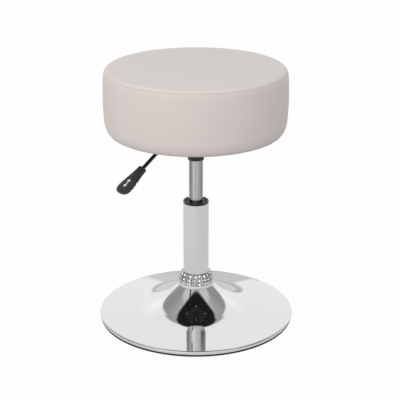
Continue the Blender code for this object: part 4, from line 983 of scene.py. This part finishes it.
shape = bmesh.new()
top, low = [[shape.verts.new(on_handle(x, y, lift)) for x, y in outline] for lift in FILM]
bridge(shape, [low, top])
shape.faces.new(top)
shape.faces.new(reversed(low))
settle(new_piece("arrow_mark", outward(plain_mesh("arrow", shape, ink))), "lever", "black_plastic")

# %% [markdown]
# ## Pieces that keep their CAD shape
# The plates, the bolts and what is inside the lift only get the finish of their material.

# %% Finishes of the other pieces
plain = {
    powder_coat: ("base_weight", "base_socket", "lever_housing", "seat_plate"),
    plywood: ("seat_board",),
    rubber: ("rubber_buffer", "piston_seal", "rod_gland"),
    zinc: (
        "tube_end_plate", "thrust_washer_lower", "thrust_ball_cage", "thrust_washer_upper", "piston_rod", "piston",
        "rod_clip", "valve_body", "pivot_pin", "pivot_spacer_1", "pivot_spacer_2", "release_pin",
        *[f"plate_bolt_{i}" for i in range(1, 5)], *[f"tee_nut_{i}" for i in range(1, 5)],
    ),
}
for finish, names in plain.items():
    for name in names:
        for slot in nodes[name].material_slots:
            slot.material = finish
    print(finish.name, "on", len(names), "CAD pieces")

# %% [markdown]
# ## Floor and studio
# The picture has a plain white ground. The floor is pale, and what the camera sees of it is mostly plain white,
# with a share of its true shading, so that the stool keeps a soft shadow. Chrome is only as good as the room it
# mirrors. Each point of the base mirrors one direction, so the picture tells what stood there: a white screen
# behind the stool, another in front, dark sides between them, and a small grey flag low behind the column.

# %% Floor
FLOOR_RADIUS, FLOOR_WHITE = 9.0, 0.975  # the camera sees that share of plain white


def ray_kinds(tree):
    """Tells rays of the camera, and rays that were mirrored or refracted."""
    rays = add(tree, "LightPath").outputs
    return rays["Is Camera Ray"], maths(tree, "MAXIMUM", rays["Is Glossy Ray"], rays["Is Transmission Ray"])


paper, tree, shader, place = new_finish("studio_paper", "#B4B1B2", 0.9, **{"Specular IOR Level": 0.0})
seen, mirrored = ray_kinds(tree)
# Painted light: for mirrored rays the floor's share of plain white falls from 0.59 on the left to 0.50 on the right, a
# painted falloff of the key lamp, so chrome mirrors a floor that is brighter on the left.
side = add(tree, "SeparateXYZ", {0: place}).outputs["X"]
painted_key_falloff = ranged(tree, side, -0.5, 0.5, 0.59, 0.50)
glow = maths(tree, "MULTIPLY_ADD", mirrored, painted_key_falloff, maths(tree, "MULTIPLY", seen, FLOOR_WHITE))
white = add(tree, "Emission", {"Strength": 1.0})
mixed = add(tree, "MixShader", {0: glow, 1: shader, 2: white})
tree.links.new(mixed.outputs[0], tree.nodes["Material Output"].inputs["Surface"])
shape = bmesh.new()
bmesh.ops.create_circle(shape, cap_ends=True, segments=96, radius=FLOOR_RADIUS)
floor = new_object("floor", plain_mesh("floor", shape, paper))
floor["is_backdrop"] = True
print("floor", floor.dimensions.x, "m across")

# %% World
WHITE = (1.0, 1.0, 1.0, 1.0)
world = bpy.data.worlds.new("studio")
bpy.context.scene.world = world
world.use_nodes = True
tree = world.node_tree
tree.nodes.clear()
ray = add(tree, "SeparateXYZ", {0: add(tree, "TexCoord").outputs["Generated"]})
bearing = maths(tree, "ARCTAN2", ray.outputs["X"], ray.outputs["Y"])
raised = maths(tree, "ARCSINE", ray.outputs["Z"])
height = maths(tree, "DIVIDE", raised, pi / 2)
place = add(tree, "CombineXYZ", {"X": bearing, "Y": raised}).outputs[0]


def greys(share, *stops):
    """A row of greys in the room, each at its share."""
    return add(tree, "ValToRGB", {"Fac": share}, stops=stops).outputs[0]


def swing(angle, start, end, low=0.0, high=1.0):
    """A number that runs from low to high between two angles in degrees."""
    return ranged(tree, angle, radians(start), radians(end), low, high)


def aim(across, up):
    """A direction in the room, by its bearing and its height in degrees."""
    return (radians(across), radians(up), 0.0)


# %% Walls and lamps
# The sides are dark at the height of the stool. The lamps fill a wide arc in front of it.
sides = greys(
    height, (0.0, 0.85), (1.0, 0.68), (0.14, 0.80), (0.22, 0.48), (0.30, 0.36), (0.50, 0.33), (0.67, 0.43), (0.80, 0.58)
)
front = greys(height, (0.55, 0.80), (1.0, 0.68), (0.66, 0.64), (0.80, 0.70))
lamps = greys(
    ranged(tree, bearing, -pi, pi),
    (0.0, 0.80), (1.0, 0.78), (0.03, 0.98), (0.11, 1.0), (0.15, 0.68), (0.19, 0.53), (0.23, 0.37), (0.27, 0.25),
    (0.75, 0.12), (0.80, 0.13), (0.833, 0.25), (0.867, 0.48), (0.90, 0.69), (0.94, 0.75),
)
lit = blend(tree, swing(raised, 26, 14), lamps, (0.84, 0.84, 0.84, 1.0))
before = blend(tree, swing(raised, 42, 56), lit, front)
walls = blend(tree, swing(maths(tree, "ABSOLUTE", bearing), 78, 92), sides, before)

# %% Screen and flag
# The screen behind the stool is grey up to a level line that sinks at both sides, and white above it. Two soft
# lobes brighten it left and right. The flag is a small ellipse of grey cloth, low in its middle.
lean = ranged(tree, bearing, -0.17, 0.17, 1.06, 0.92)
dim = vector_maths(tree, "SCALE", (0.70, 0.70, 0.70), Scale=lean)
wing = maths(tree, "ABSOLUTE", maths(tree, "SUBTRACT", bearing, radians(0.5)))
level = maths(tree, "MULTIPLY_ADD", bearing, -0.08, raised)
level = maths(tree, "ADD", level, swing(wing, 6, 36, 0.0, radians(42)))
screen = blend(tree, swing(level, 10.5, 11.1), dim, WHITE)
centred = vector_maths(tree, "SUBTRACT", place, aim(3.5, 20))
scaled = vector_maths(tree, "MULTIPLY", centred, (1 / radians(42.5), 1 / radians(36), 0.0))
square = vector_maths(tree, "MULTIPLY", scaled, scaled)
behind = ranged(tree, vector_maths(tree, "DOT_PRODUCT", square, square), 0.85, 1.15, 1.0, 0.0)
off = add(tree, "SeparateXYZ", {0: centred}).outputs
lobe = add(tree, "CombineXYZ", {"X": maths(tree, "ABSOLUTE", off["X"]), "Y": off["Y"]})
gap = vector_maths(tree, "DISTANCE", lobe, aim(33, 9))
bright = blend(tree, 1.0, screen, swing(gap, 0, 15, 0.16, 0.0), blend_type="ADD")
wide = blend(tree, behind, walls, bright)
narrow = (1 / radians(14.5), 1 / radians(12), 0.0)
away = vector_maths(tree, "LENGTH", vector_maths(tree, "MULTIPLY_ADD", place, narrow, (0.0, 4 / 12, 0.0)))
flag = ranged(tree, away, 0.92, 1.08, 1.0, 0.0)
cloth = vector_maths(tree, "SCALE", greys(away, (0.66, 0.66), (0.74, 0.57)), Scale=lean)
room = blend(tree, flag, wide, cloth)
print("mirrored room:", len(tree.nodes), "nodes")

# %% What each ray sees
# The camera sees plain white, mirrors and glass see the room, and matt surfaces get an even soft light.
seen, mirrored = ray_kinds(tree)
soft = add(tree, "Background", {"Color": WHITE, "Strength": 0.85})
studio = add(tree, "Background", {"Color": room, "Strength": 1.0})
white = add(tree, "Background", {"Color": WHITE, "Strength": 1.0})
first = add(tree, "MixShader", {0: mirrored, 1: soft, 2: studio})
last = add(tree, "MixShader", {0: seen, 1: first, 2: white})
add(tree, "OutputWorld", {"Surface": last})

# %% Key lamp
# A wide soft lamp at the front left, low and a little warm, so that the side of the seat is as bright as its top.
key = new_object("key_lamp", bpy.data.lights.new("key_lamp", "AREA"))
key.data.shape = "DISK"
key.data.size = 1.6
key.data.energy = 34.5
key.data.color = (1.0, 0.965, 0.97)
key.location = (-1.5, -2.85, 1.5)
key.rotation_euler = (Vector((0.0, 0.0, 0.35)) - key.location).to_track_quat("-Z", "Y").to_euler()
key.visible_glossy = False
print("key lamp", key.data.energy, "W")

# %% [markdown]
# ## Size
# The dressed stool is meant to fill the same box as the CAD model, and the size of its box is printed.

# %% Finish
low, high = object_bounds()
print("dressed", [round((b - a) * 1000, 1) for a, b in zip(low, high)], "mm")
